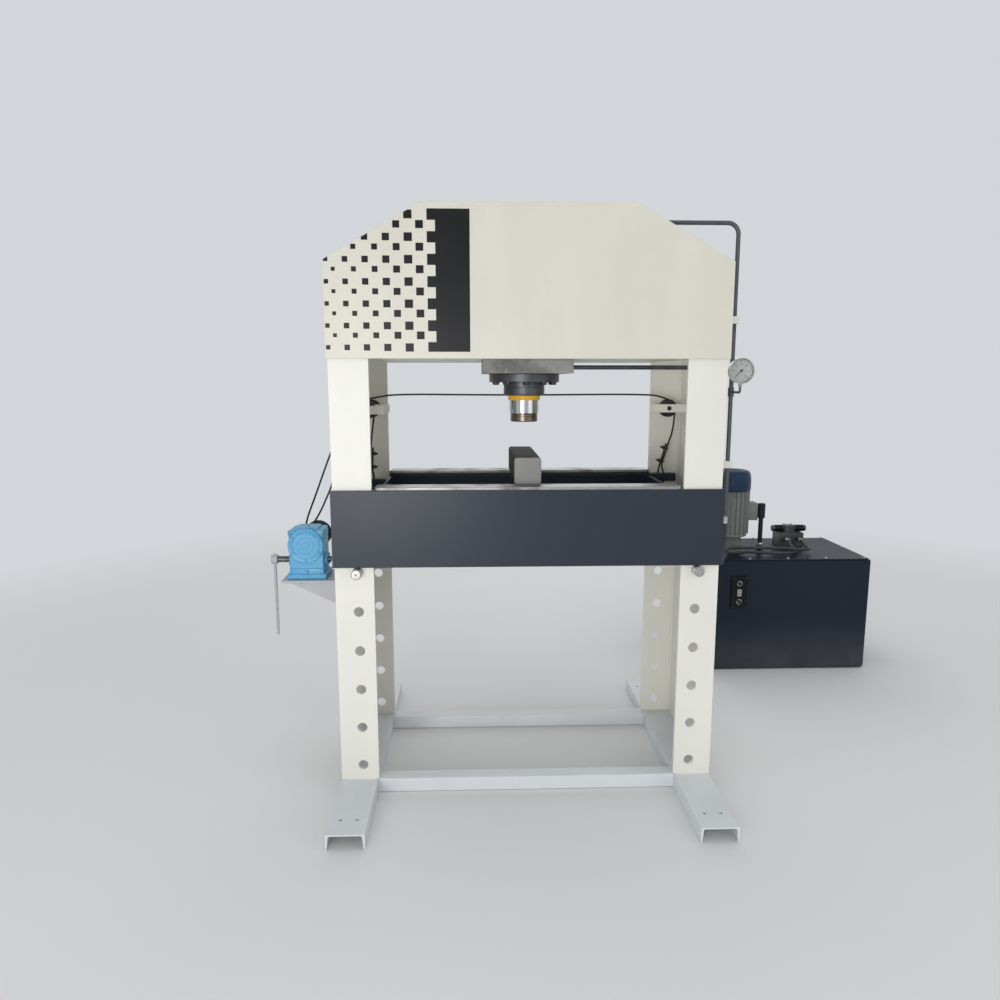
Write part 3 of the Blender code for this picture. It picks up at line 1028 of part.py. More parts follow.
def build_power_pack():
    """The open tank and its lid, the upright pump motor, the valve block, two hoses and the control panel."""
    left, right = PACK_LEFT, PACK_LEFT + PACK_WIDTH
    front, rear = depth(PACK_FRONT), depth(PACK_FRONT + PACK_DEPTH)
    rim = PACK_HEIGHT - LID_THICK - SEAT
    shell = box_mesh((left, front, 0), (right, rear, rim + TANK_ROUND), TANK_ROUND, 3)
    trim = box_mesh((left - 1, front - 1, rim), (right + 1, rear + 1, rim + 1))
    cavity = box_mesh((left + TANK_WALL, front + TANK_WALL, PACK_FOOT),
        (right - TANK_WALL, rear - TANK_WALL, rim - TANK_WALL))
    mouth = box_mesh((left + TANK_LEDGE, front + TANK_LEDGE, rim - 0.1),
        (right - TANK_LEDGE, rear - TANK_LEDGE, rim + 0.1))
    adopt("oil_tank", joined([shell, trim, cavity, mouth], "DIFFERENCE"), SLATE)
    motor_y, breather_y = depth(PACK_FRONT + MOTOR_BACK), depth(PACK_FRONT + BREATHER_BACK)
    outline = rectangle((left + LID_INSET, front + LID_INSET), (right - LID_INSET, rear - LID_INSET), 0.012)
    lid = placed(plate_mesh([outline], LID_THICK), (0, 0, PACK_HEIGHT - LID_THICK / 2))
    neck = [(0, BREATHER_HEIGHT), (0.018, BREATHER_HEIGHT), (0.022, BREATHER_HEIGHT - 0.004),
            (0.022, BREATHER_HEIGHT - 0.085), (0.013, BREATHER_HEIGHT - 0.090), (0.013, 0.012),
            (0.026, 0.010), (0.026, -LID_THICK / 2), (0, -LID_THICK / 2)]
    breather = placed(turned_mesh(neck, 18), (BREATHER_X, breather_y, PACK_HEIGHT))
    adopt("tank_lid", joined([lid, breather]), SLATE)
    base = PACK_HEIGHT + SEAT
    bell = [(0, BELL_HEIGHT), (MOTOR_RADIUS, BELL_HEIGHT), (MOTOR_RADIUS, BELL_HEIGHT - 0.012),
        (0.062, BELL_HEIGHT - 0.026),
            (0.062, 0.018), (0.088, 0.012), (0.088, 0), (0, 0)]
    body_low = base + BELL_HEIGHT - 0.001
    body = placed(plate_mesh([finned_outline(MOTOR_RADIUS, MOTOR_FIN_HEIGHT, MOTOR_FINS)],
        MOTOR_BODY_HEIGHT),
                  (MOTOR_X, motor_y, body_low + MOTOR_BODY_HEIGHT / 2))
    cover_radius = MOTOR_RADIUS + MOTOR_FIN_HEIGHT + 0.003
    cover = [(0, FAN_COVER_HEIGHT), (0.060, FAN_COVER_HEIGHT - 0.003),
        (cover_radius - 0.014, FAN_COVER_HEIGHT - 0.014),
             (cover_radius - 0.004, FAN_COVER_HEIGHT - 0.028), (cover_radius, FAN_COVER_HEIGHT - 0.046),
              (cover_radius, 0), (0, 0)]
    cover_mesh = placed(turned_mesh(cover, 28), (MOTOR_X, motor_y, body_low + MOTOR_BODY_HEIGHT - 0.001))
    terminal = box_mesh((MOTOR_X + MOTOR_RADIUS - 0.01, motor_y - 0.045, body_low + 0.080),
                        (MOTOR_X + MOTOR_RADIUS + 0.050, motor_y + 0.045, body_low + 0.180), 0.005, 1)
    bell_mesh = placed(turned_mesh(bell, 24), (MOTOR_X, motor_y, base))
    adopt("pump_motor", joined([body, bell_mesh, cover_mesh, terminal]), MOTOR_BLUE)
    width, reach, height = VALVE_SIZE
    valve_y = depth(PACK_FRONT + VALVE_BACK)
    block_part = box_mesh((VALVE_X - width / 2, valve_y, base),
        (VALVE_X + width / 2, valve_y + reach, base + height), 0.003)
    spool = box_mesh((VALVE_X - 0.030, valve_y + 0.030, base + height - 0.002),
        (VALVE_X + 0.030, valve_y + 0.080, base + height + 0.042), 0.003)
    coil = placed(turned_mesh(rod_profile(0.0185, -0.105, 0.105, 0.003), 24),
                  (VALVE_X, valve_y + 0.055, base + height + 0.0215), (0, math.pi / 2, 0))
    ports = [placed(turned_mesh(rod_profile(0.0135, 0, PORT_LENGTH, 0.002), 6), (x, valve_y + 0.002, 0.700),
                    (math.pi / 2, 0, 0))
             for x in (PRESSURE_HOSE_ROUTE[-1][0], RETURN_HOSE_ROUTE[-1][0])]
    adopt("valve_block", joined([block_part, spool, coil, *ports]), DARK_STEEL)
    for name, route in (("pressure_hose", PRESSURE_HOSE_ROUTE), ("return_hose", RETURN_HOSE_ROUTE)):
        points = smooth_route([(x, depth(back), z) for x, back, z in route], 0.060)
        tube(name, points, HOSE_RADIUS, HOSE_RUBBER)
    panel_y = front - SEAT - PANEL_THICK
    half_w, half_h = PANEL_SIZE[0] / 2, PANEL_SIZE[1] / 2
    plate_part = box_mesh((PANEL_X - half_w, panel_y, PANEL_HEIGHT - half_h),
        (PANEL_X + half_w, front - SEAT, PANEL_HEIGHT + half_h), 0.002)
    lamp = box_mesh((PANEL_X - 0.012, panel_y - 0.003, PANEL_HEIGHT - 0.012),
        (PANEL_X + 0.012, panel_y + 0.002, PANEL_HEIGHT + 0.012), 0.001)
    wells = [placed(turned_mesh(rod_profile(BUTTON_RADIUS + RUNNING, -0.02, PANEL_THICK - 0.002), 20),
                    (PANEL_X, panel_y, PANEL_HEIGHT + side * BUTTON_SPREAD),
                     (-math.pi / 2, 0, 0)) for side in (-1, 1)]
    adopt("control_panel", joined([joined([plate_part, lamp]), *wells], "DIFFERENCE"), BLACK_PANEL)
    sink = PANEL_THICK - 0.002 - SEAT - BUTTON_TRAVEL
    for name, side in (("up_button", 1), ("down_button", -1)):
        profile = rod_profile(BUTTON_RADIUS, -BUTTON_PROUD, sink, 0.0015)
        turned(name, profile, (PANEL_X, panel_y, PANEL_HEIGHT + side * BUTTON_SPREAD), BUTTON_WHITE, "Y",
            20)


for upright_side, upright_sign in (("left", -1), ("right", 1)):
    build_upright(upright_side, upright_sign)
build_floor_frame()
build_head()
build_ram_unit()
build_bed()
build_pulleys()
build_ropes()
build_winch()
build_pipes()
build_power_pack()
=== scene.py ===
import json
import logging
import math
from dataclasses import dataclass, field
from enum import Enum
from itertools import product

import bmesh
import bpy
import numpy as np
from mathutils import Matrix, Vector

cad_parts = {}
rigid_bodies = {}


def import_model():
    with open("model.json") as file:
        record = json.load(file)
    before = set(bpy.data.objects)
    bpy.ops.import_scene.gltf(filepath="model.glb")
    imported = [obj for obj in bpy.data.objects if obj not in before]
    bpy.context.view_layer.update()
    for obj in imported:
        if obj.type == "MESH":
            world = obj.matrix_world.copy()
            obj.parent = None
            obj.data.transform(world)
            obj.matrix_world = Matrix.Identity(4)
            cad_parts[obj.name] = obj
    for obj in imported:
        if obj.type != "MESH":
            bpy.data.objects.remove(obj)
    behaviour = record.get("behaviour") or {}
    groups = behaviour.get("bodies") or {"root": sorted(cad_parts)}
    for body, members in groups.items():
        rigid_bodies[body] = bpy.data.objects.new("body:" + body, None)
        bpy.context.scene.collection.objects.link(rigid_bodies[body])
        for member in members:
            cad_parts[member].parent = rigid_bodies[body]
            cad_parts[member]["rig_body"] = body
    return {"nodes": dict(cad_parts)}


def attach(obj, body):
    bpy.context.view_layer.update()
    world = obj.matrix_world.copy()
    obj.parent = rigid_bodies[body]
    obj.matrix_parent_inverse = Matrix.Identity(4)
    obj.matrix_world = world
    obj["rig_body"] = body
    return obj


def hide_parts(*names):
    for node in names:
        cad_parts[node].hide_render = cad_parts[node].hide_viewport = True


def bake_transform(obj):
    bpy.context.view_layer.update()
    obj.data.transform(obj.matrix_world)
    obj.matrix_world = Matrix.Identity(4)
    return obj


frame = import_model()

LOG = logging.getLogger("press")
FRONT_Y = -0.0325
SIDES = (("left", -1), ("right", 1))
MERGE_DISTANCE = 0.00001
Colour = tuple[float, float, float]


def depth(behind: float) -> float:
    """The Y of a point this far behind the front flanges' faces."""
    return FRONT_Y + behind


def srgb(red: int, green: int, blue: int) -> Colour:
    """A colour from 0 to 255, as the linear numbers that a shader takes.

    Args:
        red, green, blue: the written colour.

    Returns:
        Three linear numbers from 0 to 1.
    """
    share = np.array([red, green, blue]) / 255
    linear = np.where(share <= 0.04045, share / 12.92, ((share + 0.055) / 1.055) ** 2.4)
    return tuple(float(value) for value in linear)


def toned(colour: Colour, factor: float, most: float = 0.93) -> Colour:
    """The colour made lighter or darker by a factor, with no channel above the most."""
    return tuple(min(most, channel * factor) for channel in colour)


class Axis(Enum):
    """The direction a turned or extruded form runs along, with its two cross directions."""
    X = ((1, 0, 0), (0, 1, 0), (0, 0, 1))
    Y = ((0, 1, 0), (0, 0, 1), (1, 0, 0))
    Z = ((0, 0, 1), (1, 0, 0), (0, 1, 0))


class Value:
    """A socket whose sums are written as Python sums."""

    def __init__(self, tree: "Tree", socket: bpy.types.NodeSocket) -> None:
        """Keeps the tree and the socket that this value comes from."""
        self.tree = tree
        self.socket = socket

    def _math(self, operation: str, *terms: "Value | float") -> "Value":
        """A Math node of that operation on these terms."""
        node = self.tree.make("ShaderNodeMath", {"operation": operation}, dict(enumerate(terms)))
        return Value(self.tree, node.outputs[0])

    def __add__(self, other: "Value | float") -> "Value":
        """The sum."""
        return self._math("ADD", self, other)

    __radd__ = __add__

    def __mul__(self, other: "Value | float") -> "Value":
        """The product."""
        return self._math("MULTIPLY", self, other)

    __rmul__ = __mul__

    def __sub__(self, other: "Value | float") -> "Value":
        """The difference."""
        return self._math("SUBTRACT", self, other)

    def __rsub__(self, other: "Value | float") -> "Value":
        """The difference, the other way round."""
        return self._math("SUBTRACT", other, self)

    def highest(self, other: "Value | float") -> "Value":
        """The larger of the two."""
        return self._math("MAXIMUM", self, other)

    def steps(self, low: float, high: float) -> "Value":
        """A smooth step from 0 at low to 1 at high.

        Args:
            low, high: where the step starts and ends; low may be the larger.

        Returns:
            The value from 0 to 1.
        """
        node = self.tree.make("ShaderNodeMapRange", {"interpolation_type": "SMOOTHSTEP"},
                              {"Value": self, "From Min": low, "From Max": high, "To Min": 0.0,
                               "To Max": 1.0})
        return Value(self.tree, node.outputs[0])


class Tree:
    """One material's nodes: a Principled shader on Object coordinates."""

    def __init__(self, name: str) -> None:
        """Makes the material, its shader and its coordinates.

        Args:
            name: the material's name.
        """
        self.material = bpy.data.materials.new(name)
        self.material.use_nodes = True
        self.nodes = self.material.node_tree.nodes
        self.nodes.clear()
        self.shader = self.make("ShaderNodeBsdfPrincipled")
        output = self.make("ShaderNodeOutputMaterial", None, {"Surface": Value(self, self.shader.outputs[0])})
        output.location = (400, 0)
        self.place = Value(self, self.make("ShaderNodeTexCoord").outputs["Object"])

    def make(self, kind: str, settings: dict | None = None, inputs: dict | None = None) -> bpy.types.Node:
        """A node of this type.

        Args:
            kind: the node's type.
            settings: its properties, set first.
            inputs: values or Values by socket name or number.

        Returns:
            The node.
        """
        node = self.nodes.new(kind)
        for key, value in (settings or {}).items():
            setattr(node, key, value)
        for key, value in (inputs or {}).items():
            socket = node.inputs[key]
            if isinstance(value, Value):
                self.material.node_tree.links.new(value.socket, socket)
            elif socket.type == "RGBA":
                socket.default_value = (*value, 1.0)
            else:
                socket.default_value = value
        return node

    def noise(self, scale: float, detail: float = 2.0, stretch: tuple[float, float, float] = (1, 1, 1),
              shift: float = 0.0) -> Value:
        """Noise over the piece, from 0 to 1.

        Args:
            scale: features per metre.
            detail: octaves.
            stretch: the scale's share along each axis, small along a grain.
            shift: moves the pattern, so that two differ.

        Returns:
            The noise value.
        """
        mapped = self.make("ShaderNodeMapping", None,
                           {"Vector": self.place, "Scale": stretch,
                            "Location": (shift, shift * 0.7, shift * 1.3)})
        node = self.make("ShaderNodeTexNoise", None,
                         {"Vector": Value(self, mapped.outputs[0]), "Scale": scale, "Detail": detail,
                          "Roughness": 0.55})
        return Value(self, node.outputs["Fac"])

    def part(self, axis: str) -> Value:
        """One of the Object coordinates, in metres."""
        node = self.make("ShaderNodeSeparateXYZ", None, {0: self.place})
        return Value(self, node.outputs[axis])

    def edge(self) -> Value:
        """The eased edges' mask, 1 on them."""
        return Value(self, self.make("ShaderNodeAttribute", {"attribute_name": "edge"}).outputs["Fac"])

    def mix(self, share: Value | float, first: Value | Colour, second: Value | Colour) -> Value:
        """A mix of two colours.

        Args:
            share: 0 for the first, 1 for the second.
            first, second: colours.

        Returns:
            The mixed colour.
        """
        node = self.make("ShaderNodeMix", {"data_type": "RGBA"}, {0: share, 6: first, 7: second})
        return Value(self, node.outputs[2])

    def bump(self, height: Value, distance: float, strength: float = 1.0) -> None:
        """Lets this height, times a distance in metres, bend the shader's normal."""
        node = self.make("ShaderNodeBump", None,
                         {"Height": height, "Distance": distance, "Strength": strength})
        self.set(Normal=Value(self, node.outputs[0]))

    def linked(self, name: str) -> Value:
        """What the shader's socket of this name is linked to."""
        return Value(self, self.shader.inputs[name].links[0].from_socket)

    def set(self, **sockets: "Value | float | Colour") -> None:
        """Sets or links the shader's own sockets.

        Args:
            sockets: a Value, number or colour by socket name, with _ for a blank in it.
        """
        for key, value in sockets.items():
            socket = self.shader.inputs[key.replace("_", " ")]
            if isinstance(value, Value):
                self.material.node_tree.links.new(value.socket, socket)
            elif socket.type == "RGBA":
                socket.default_value = (*value, 1.0)
            else:
                socket.default_value = value


@dataclass(frozen=True)
class Finish:
    """What every finish has: its name and the record's slot that it stands for."""
    name: str
    slot: str

    def paint(self, tree: Tree) -> None:
        """Builds the nodes on this tree; each finish has its own."""
        raise NotImplementedError

    def material(self) -> bpy.types.Material:
        """The material, made on first use.

        Returns:
            Blender's material of this finish's name.
        """
        known = bpy.data.materials.get(self.name)
        if known is not None:
            return known
        tree = Tree(self.name)
        self.paint(tree)
        return tree.material


@dataclass(frozen=True)
class Enamel(Finish):
    """Sprayed workshop paint: orange peel, soft clouds, runs, worn edges, and dust near the floor."""
    colour: Colour = (0.8, 0.8, 0.8)
    worn: Colour = (0.45, 0.43, 0.40)
    rough: float = 0.36
    wear: float = 0.45
    dust: float = 0.35
    grime: Colour = (0.34, 0.33, 0.31)
    peel: float = 1.0
    gloss: float = 0.5

    def paint(self, tree: Tree) -> None:
        """Colour is the paint, darkened by clouds and runs, then dust by height, then bare edges by noise.

        Args:
            tree: the material's nodes.
        """
        cloud = tree.noise(2.2, 4.0)
        fine = tree.noise(60.0, 3.0, shift=4.0)
        runs = tree.noise(9.0, 3.0, (1.0, 1.0, 0.07), 2.0)
        shade = (cloud - 0.5) * 0.75 + (runs - 0.5) * 0.45 + (fine - 0.5) * 0.12
        darker = toned(self.colour, 0.87)
        paler = toned(self.colour, 1.09)
        base = tree.mix(shade + 0.5, darker, paler)
        height = tree.part("Z")
        low = height.steps(0.34, 0.0) * (0.35 + tree.noise(7.0, 4.0, shift=7.0)) * self.dust
        base = tree.mix(low, base, self.grime)
        spots = tree.noise(26.0, 5.0, shift=11.0).steps(0.70, 0.78) * 0.35
        base = tree.mix(spots, base, darker)
        chipped = tree.edge() * tree.noise(45.0, 4.0, shift=3.0).steps(0.50, 0.62) * self.wear
        base = tree.mix(chipped, base, self.worn)
        tree.set(Base_Color=base, Roughness=self.rough + (cloud - 0.5) * 0.12 + low * 0.5 + chipped * 0.15,
                 Specular_IOR_Level=self.gloss)
        peel = tree.noise(260.0, 1.0)
        tree.bump(peel * 0.8 + fine * 0.5 - chipped * 0.6, 0.00022 * self.peel, 0.6)


@dataclass(frozen=True)
class Steel(Finish):
    """Bare or darkened steel with a grain, scratches, stains and brighter rubbed edges."""
    colour: Colour = (0.45, 0.44, 0.42)
    stain: Colour = (0.20, 0.17, 0.14)
    rough: float = 0.38
    metal: float = 0.9
    grain: tuple[float, float, float] = (1.0, 1.0, 12.0)
    scratches: float = 0.4
    stains: float = 0.4

    def paint(self, tree: Tree) -> None:
        """Colour is the steel, varied along its grain, with thin light scratches and dark blotches.

        Args:
            tree: the material's nodes.
        """
        grain = tree.noise(90.0, 3.0, self.grain)
        blotch = tree.noise(7.0, 5.0, shift=5.0)
        paler = toned(self.colour, 1.28, 0.95)
        darker = toned(self.colour, 0.72)
        base = tree.mix(grain, darker, paler)
        stained = blotch.steps(0.50, 0.68) * self.stains
        base = tree.mix(stained, base, self.stain)
        lines = tree.noise(22.0, 2.0, (1.0, 9.0, 1.2), 8.0).steps(0.66, 0.70)
        lines = lines.highest(tree.noise(18.0, 2.0, (8.0, 1.0, 1.3), 9.0).steps(0.67, 0.71)) * self.scratches
        rubbed = (tree.edge() * 0.7 + lines) * (1.0 - stained * 0.5)
        base = tree.mix(rubbed, base, paler)
        tree.set(Base_Color=base, Metallic=self.metal,
                 Roughness=self.rough + stained * 0.25 - rubbed * 0.10 + (grain - 0.5) * 0.14)
        tree.bump(grain * 0.6 + lines * 0.8 - stained * 0.3, 0.00012, 0.6)


@dataclass(frozen=True)
class Scaled(Steel):
    """Dark mill scale along a bar, with a bright front end face: bare cut metal, and partly painted light on
    the face turned to the light.
    """
    lit_cut_end: Colour = srgb(134, 134, 130)
    sawn_at: float = 0.024

    def paint(self, tree: Tree) -> None:
        """The scale as for steel, then the bright colour, partly painted light, wherever Y is in front of the
        end face.

        Args:
            tree: the material's nodes.
        """
        super().paint(tree)
        scale = tree.linked("Base Color")
        grain = tree.noise(150.0, 4.0, (1.0, 1.0, 0.15), 13.0)
        bright = tree.mix(grain, toned(self.lit_cut_end, 0.75), self.lit_cut_end)
        front = tree.part("Y").steps(self.sawn_at + 0.0006, self.sawn_at - 0.0002)
        tree.set(Base_Color=tree.mix(front, scale, bright), Metallic=front * 0.6,
                 Roughness=0.72 - front * 0.34, Specular_IOR_Level=0.12)


@dataclass(frozen=True)
class Casting(Finish):
    """Enamel on a sand casting: coarse skin, pooled paint, chips on the edges."""
    colour: Colour = (0.1, 0.3, 0.6)
    chip: Colour = (0.30, 0.34, 0.38)
    rough: float = 0.34
    gloss: float = 0.45

    def paint(self, tree: Tree) -> None:
        """Colour is the paint, darker in the skin's hollows, with grime in patches and chipped edges.

        Args:
            tree: the material's nodes.
        """
        skin = tree.noise(170.0, 4.0)
        patch = tree.noise(14.0, 4.0, shift=2.0)
        darker = toned(self.colour, 0.66)
        paler = toned(self.colour, 1.22)
        base = tree.mix(skin * 0.6 + patch * 0.4, darker, paler)
        dirt = patch.steps(0.56, 0.72) * 0.35
        base = tree.mix(dirt, base, srgb(46, 50, 52))
        chipped = tree.edge() * tree.noise(60.0, 4.0, shift=3.0).steps(0.48, 0.60) * 0.65
        base = tree.mix(chipped, base, self.chip)
        tree.set(Base_Color=base, Roughness=self.rough + dirt * 0.4 + (skin - 0.5) * 0.15,
                 Specular_IOR_Level=self.gloss)
        tree.bump(skin - chipped * 0.5, 0.00045, 0.7)


@dataclass(frozen=True)
class Moulded(Finish):
    """Rubber or plastic: fine grain, dust in the hollows, a scuff here and there."""
    colour: Colour = (0.03, 0.03, 0.03)
    rough: float = 0.55
    scuff: float = 0.25
    bloom: Colour = (0.30, 0.29, 0.27)
    gloss: float = 0.5

    def paint(self, tree: Tree) -> None:
        """Colour is the material with a pale bloom by noise and scuffs along its edges.

        Args:
            tree: the material's nodes.
        """
        fine = tree.noise(420.0, 2.0)
        cloud = tree.noise(11.0, 4.0, shift=6.0)
        bloom = (cloud.steps(0.45, 0.75) * 0.5 + tree.edge() * 0.5) * self.scuff
        base = tree.mix(bloom, self.colour, self.bloom)
        tree.set(Base_Color=base, Roughness=self.rough + bloom * 0.2 + (fine - 0.5) * 0.15,
                 Specular_IOR_Level=self.gloss)
        tree.bump(fine, 0.00010, 0.5)


@dataclass(frozen=True)
class Glass(Finish):
    """Clear glass with faint wiping marks in its gloss."""

    def paint(self, tree: Tree) -> None:
        """Full transmission on the shader itself; only the roughness varies, by smears.

        Args:
            tree: the material's nodes.
        """
        smears = tree.noise(60.0, 3.0, (1.0, 1.0, 0.3))
        tree.set(Base_Color=(0.96, 0.98, 0.98), Transmission_Weight=1.0, IOR=1.45,
                 Roughness=0.02 + smears.steps(0.5, 0.8) * 0.06)


CREAM = Enamel("cream_paint", "cream_enamel", srgb(231, 230, 220), srgb(176, 172, 162), dust=0.16)
# Painted shade: the head takes the uprights' cream paint made darker and yellower, standing for the shade
# that lies on the head.
SHADED_HEAD_CREAM = Enamel("head_cream_shaded_paint", "cream_enamel", srgb(218, 214, 200), srgb(168, 164, 152), dust=0.16)
PALE_GREY = Enamel("pale_grey_paint", "grey_enamel", srgb(222, 227, 230), srgb(156, 156, 155), rough=0.38,
                   dust=0.2)
# Painted shade: the bracket and crank take the pale grey paint made darker, standing for the shade they lie
# in.
SHADED_WINCH_GREY = Enamel("winch_shaded_paint", "grey_enamel", srgb(176, 178, 180), srgb(120, 120, 118), rough=0.40,
                    wear=0.6, dust=0.1)
SLATE = Enamel("slate_paint", "slate_enamel", srgb(42, 50, 61), srgb(104, 108, 114), rough=0.33, wear=0.5,
               dust=0.15, gloss=0.30)
PACK_BLUE = Enamel("pack_paint", "slate_enamel", srgb(30, 38, 50), srgb(88, 94, 104), rough=0.38, wear=0.4,
                   dust=0.12, gloss=0.15)
GEAR_BLUE = Casting("gearbox_paint", "gearbox_blue", srgb(88, 168, 210), srgb(128, 178, 204))
# Partly painted shade: the fan cover's blue paint is set darker than it is, standing for the shade the cover
# lies in.
SHADED_FAN_BLUE = Casting("fan_cover_shaded_paint", "motor", srgb(28, 52, 80), srgb(86, 98, 110), gloss=0.25)
MOTOR_GREY = Casting("motor_body_paint", "motor", srgb(124, 128, 126), srgb(84, 86, 86), rough=0.44,
                     gloss=0.3)
DARK_STEEL = Steel("dark_steel_finish", "dark_steel", srgb(92, 94, 97), srgb(42, 40, 38), rough=0.42,
                   metal=0.75)
SCUFFED = Steel("scuffed_plate_finish", "dark_steel", srgb(142, 140, 135), srgb(74, 72, 69), rough=0.50,
                metal=0.35, grain=(4.0, 4.0, 1.0), scratches=0.8, stains=0.55)
PIN_STEEL = Steel("pin_steel_finish", "pin_steel", srgb(188, 187, 182), srgb(104, 98, 90), rough=0.26,
                  metal=0.95, grain=(1, 9, 1), scratches=0.5, stains=0.35)
SHAFT_STEEL = Steel("shaft_steel_finish", "pin_steel", srgb(112, 109, 104), srgb(52, 46, 40), rough=0.36,
                    metal=0.85, grain=(1, 9, 9), scratches=0.4, stains=0.5)
# Partly painted light: the bar's front end face is bright as the face turned to the light, and the rest stays
# dark.
BAR_STEEL = Scaled("bar_steel_finish", "mill_steel", srgb(44, 42, 40), srgb(30, 27, 24), rough=0.46,
                   metal=0.35, grain=(9, 1, 9), scratches=0.5, stains=0.5)
REST_STEEL = Steel("rest_steel_finish", "mill_steel", srgb(150, 150, 148), srgb(70, 68, 64), rough=0.40,
                   metal=0.85, grain=(9, 1, 1), scratches=0.9, stains=0.6)
CHROME = Steel("ram_chrome", "chrome", srgb(196, 198, 200), srgb(130, 130, 130), rough=0.10, metal=1.0,
               grain=(1, 1, 9), scratches=0.12, stains=0.08)
NOSE = Steel("nose_steel_finish", "nose_steel", srgb(120, 108, 96), srgb(60, 48, 40), rough=0.30,
             metal=0.95, grain=(1, 1, 14), scratches=0.4, stains=0.5)
ROPE = Steel("rope_wire", "rope_steel", srgb(58, 57, 55), srgb(24, 22, 20), rough=0.50, metal=0.7,
             grain=(1, 1, 1), scratches=0.3, stains=0.5)
BOLT = Steel("bolt_black", "dark_steel", srgb(64, 64, 66), srgb(36, 34, 32), rough=0.38, metal=0.7,
             grain=(1, 1, 1), scratches=0.3, stains=0.3)
ZINC = Steel("zinc_plate", "pin_steel", srgb(186, 186, 180), srgb(120, 116, 104), rough=0.30, metal=0.95,
             grain=(1, 1, 1), scratches=0.3, stains=0.2)
YELLOW = Moulded("wiper_yellow", "seal", srgb(232, 176, 40), rough=0.45, scuff=0.25,
                 bloom=srgb(150, 120, 60))
HOSE = Moulded("hose_rubber", "hose", srgb(46, 47, 50), rough=0.52, scuff=0.35, bloom=srgb(110, 108, 104))
PANEL = Moulded("panel_black", "panel", srgb(14, 14, 17), rough=0.40, scuff=0.25, bloom=srgb(50, 50, 52),
                gloss=0.2)
VINYL = Moulded("decal_black", "panel", srgb(16, 16, 20), rough=0.32, scuff=0.04, gloss=0.25)
WHITE = Moulded("dial_white", "button", srgb(232, 231, 226), rough=0.40, scuff=0.10,
                bloom=srgb(200, 198, 190))
BUTTON_BLACK = Moulded("button_black", "button", srgb(24, 24, 27), rough=0.22, scuff=0.15)
LEGEND = Moulded("legend_grey", "button", srgb(158, 158, 160), rough=0.35, scuff=0.08)
CLEAR = Glass("dial_glass", "button")


@dataclass
class Shape:
    """A closed surface as whole arrays: points, and faces that name them."""
    points: np.ndarray
    faces: list = field(default_factory=list)

    def moved(self, x: float = 0.0, y: float = 0.0, z: float = 0.0) -> "Shape":
        """The same surface elsewhere."""
        return Shape(self.points + np.array([x, y, z]), self.faces)

    def tilted(self, axis: str, degrees: float, about: tuple[float, float, float] = (0, 0, 0)) -> "Shape":
        """The same surface turned about a line.

        Args:
            axis: X, Y or Z.
            degrees: how far.
            about: a point on the line.

        Returns:
            The turned surface.
        """
        first, second = {"X": (1, 2), "Y": (2, 0), "Z": (0, 1)}[axis]
        angle = math.radians(degrees)
        local = self.points - np.array(about)
        turned = local.copy()
        turned[:, first] = local[:, first] * math.cos(angle) - local[:, second] * math.sin(angle)
        turned[:, second] = local[:, first] * math.sin(angle) + local[:, second] * math.cos(angle)
        return Shape(turned + np.array(about), self.faces)


def skin(rings: np.ndarray, loop: bool = False) -> Shape:
    """Joins closed rings of points, rings[i, j], with quads, and caps the ends unless they join up.

    Args:
        rings: an array of rings, points and coordinates.
        loop: True if the last ring joins the first.

    Returns:
        The surface.
    """
    count, around, _ = rings.shape
    index = np.arange(count * around).reshape(count, around)
    near = index if loop else index[:-1]
    far = np.roll(index, -1, axis=0) if loop else index[1:]
    quads = np.stack([near, np.roll(near, -1, axis=1), np.roll(far, -1, axis=1), far], axis=-1).reshape(-1, 4)
    faces = quads.tolist()
    if not loop:
        faces += [index[0][::-1].tolist(), index[-1].tolist()]
    return Shape(rings.reshape(-1, 3).astype(float), faces)


def lathe(profile: list, origin: tuple[float, float, float], axis: Axis = Axis.Z, sides: int = 64,
          loop: bool = False) -> Shape:
    """A profile of (radius, along) carried round an axis: origin + along * axis + radius * (cos a, sin a).

    Args:
        profile: the points, in order; a radius of 0 is a pole.
        origin: the point where along is 0.
        axis: the axis.
        sides: the points round it.
        loop: True for a ring whose profile closes on itself.

    Returns:
        The turned surface.
    """
    along, first, second = (np.array(part, float) for part in axis.value)
    radius, reach = np.array(profile, float).T
    angle = np.linspace(0, 2 * np.pi, sides, endpoint=False)
    ring = np.cos(angle)[:, None] * first + np.sin(angle)[:, None] * second
    rings = np.array(origin) + reach[:, None, None] * along + radius[:, None, None] * ring[None]
    return skin(rings, loop)


def eased_rod(radius: float, low: float, high: float, ease: float) -> list:
    """A solid rod's profile with small chamfers."""
    return [(0, low), (radius - ease, low), (radius, low + ease), (radius, high - ease),
            (radius - ease, high), (0, high)]


def smooth_path(points: list, spacing: float) -> np.ndarray:
    """A Catmull-Rom curve through the points, read again at even steps.

    Args:
        points: the route's own points.
        spacing: metres between the points that come back.

    Returns:
        The path's points.
    """
    route = np.array(points, float)
    ends = np.vstack([2 * route[0] - route[1], route, 2 * route[-1] - route[-2]])
    before, start, end, after = (ends[i:len(ends) - 3 + i, None] for i in range(4))
    t = np.linspace(0, 1, 24, endpoint=False)[None, :, None]
    curve = 0.5 * (2 * start + (end - before) * t + (2 * before - 5 * start + 4 * end - after) * t ** 2
                   + (3 * start - before - 3 * end + after) * t ** 3)
    return even_path(np.vstack([curve.reshape(-1, 3), route[-1]]), spacing)


def even_path(points: np.ndarray, spacing: float) -> np.ndarray:
    """The same line with its points at even steps.

    Args:
        points: the line's points.
        spacing: about how far apart the new ones are.

    Returns:
        The new points.
    """
    run = np.r_[0, np.cumsum(np.linalg.norm(np.diff(points, axis=0), axis=1))]
    steps = np.linspace(0, run[-1], max(2, round(run[-1] / spacing) + 1))
    return np.stack([np.interp(steps, run, points[:, k]) for k in range(3)], axis=1)


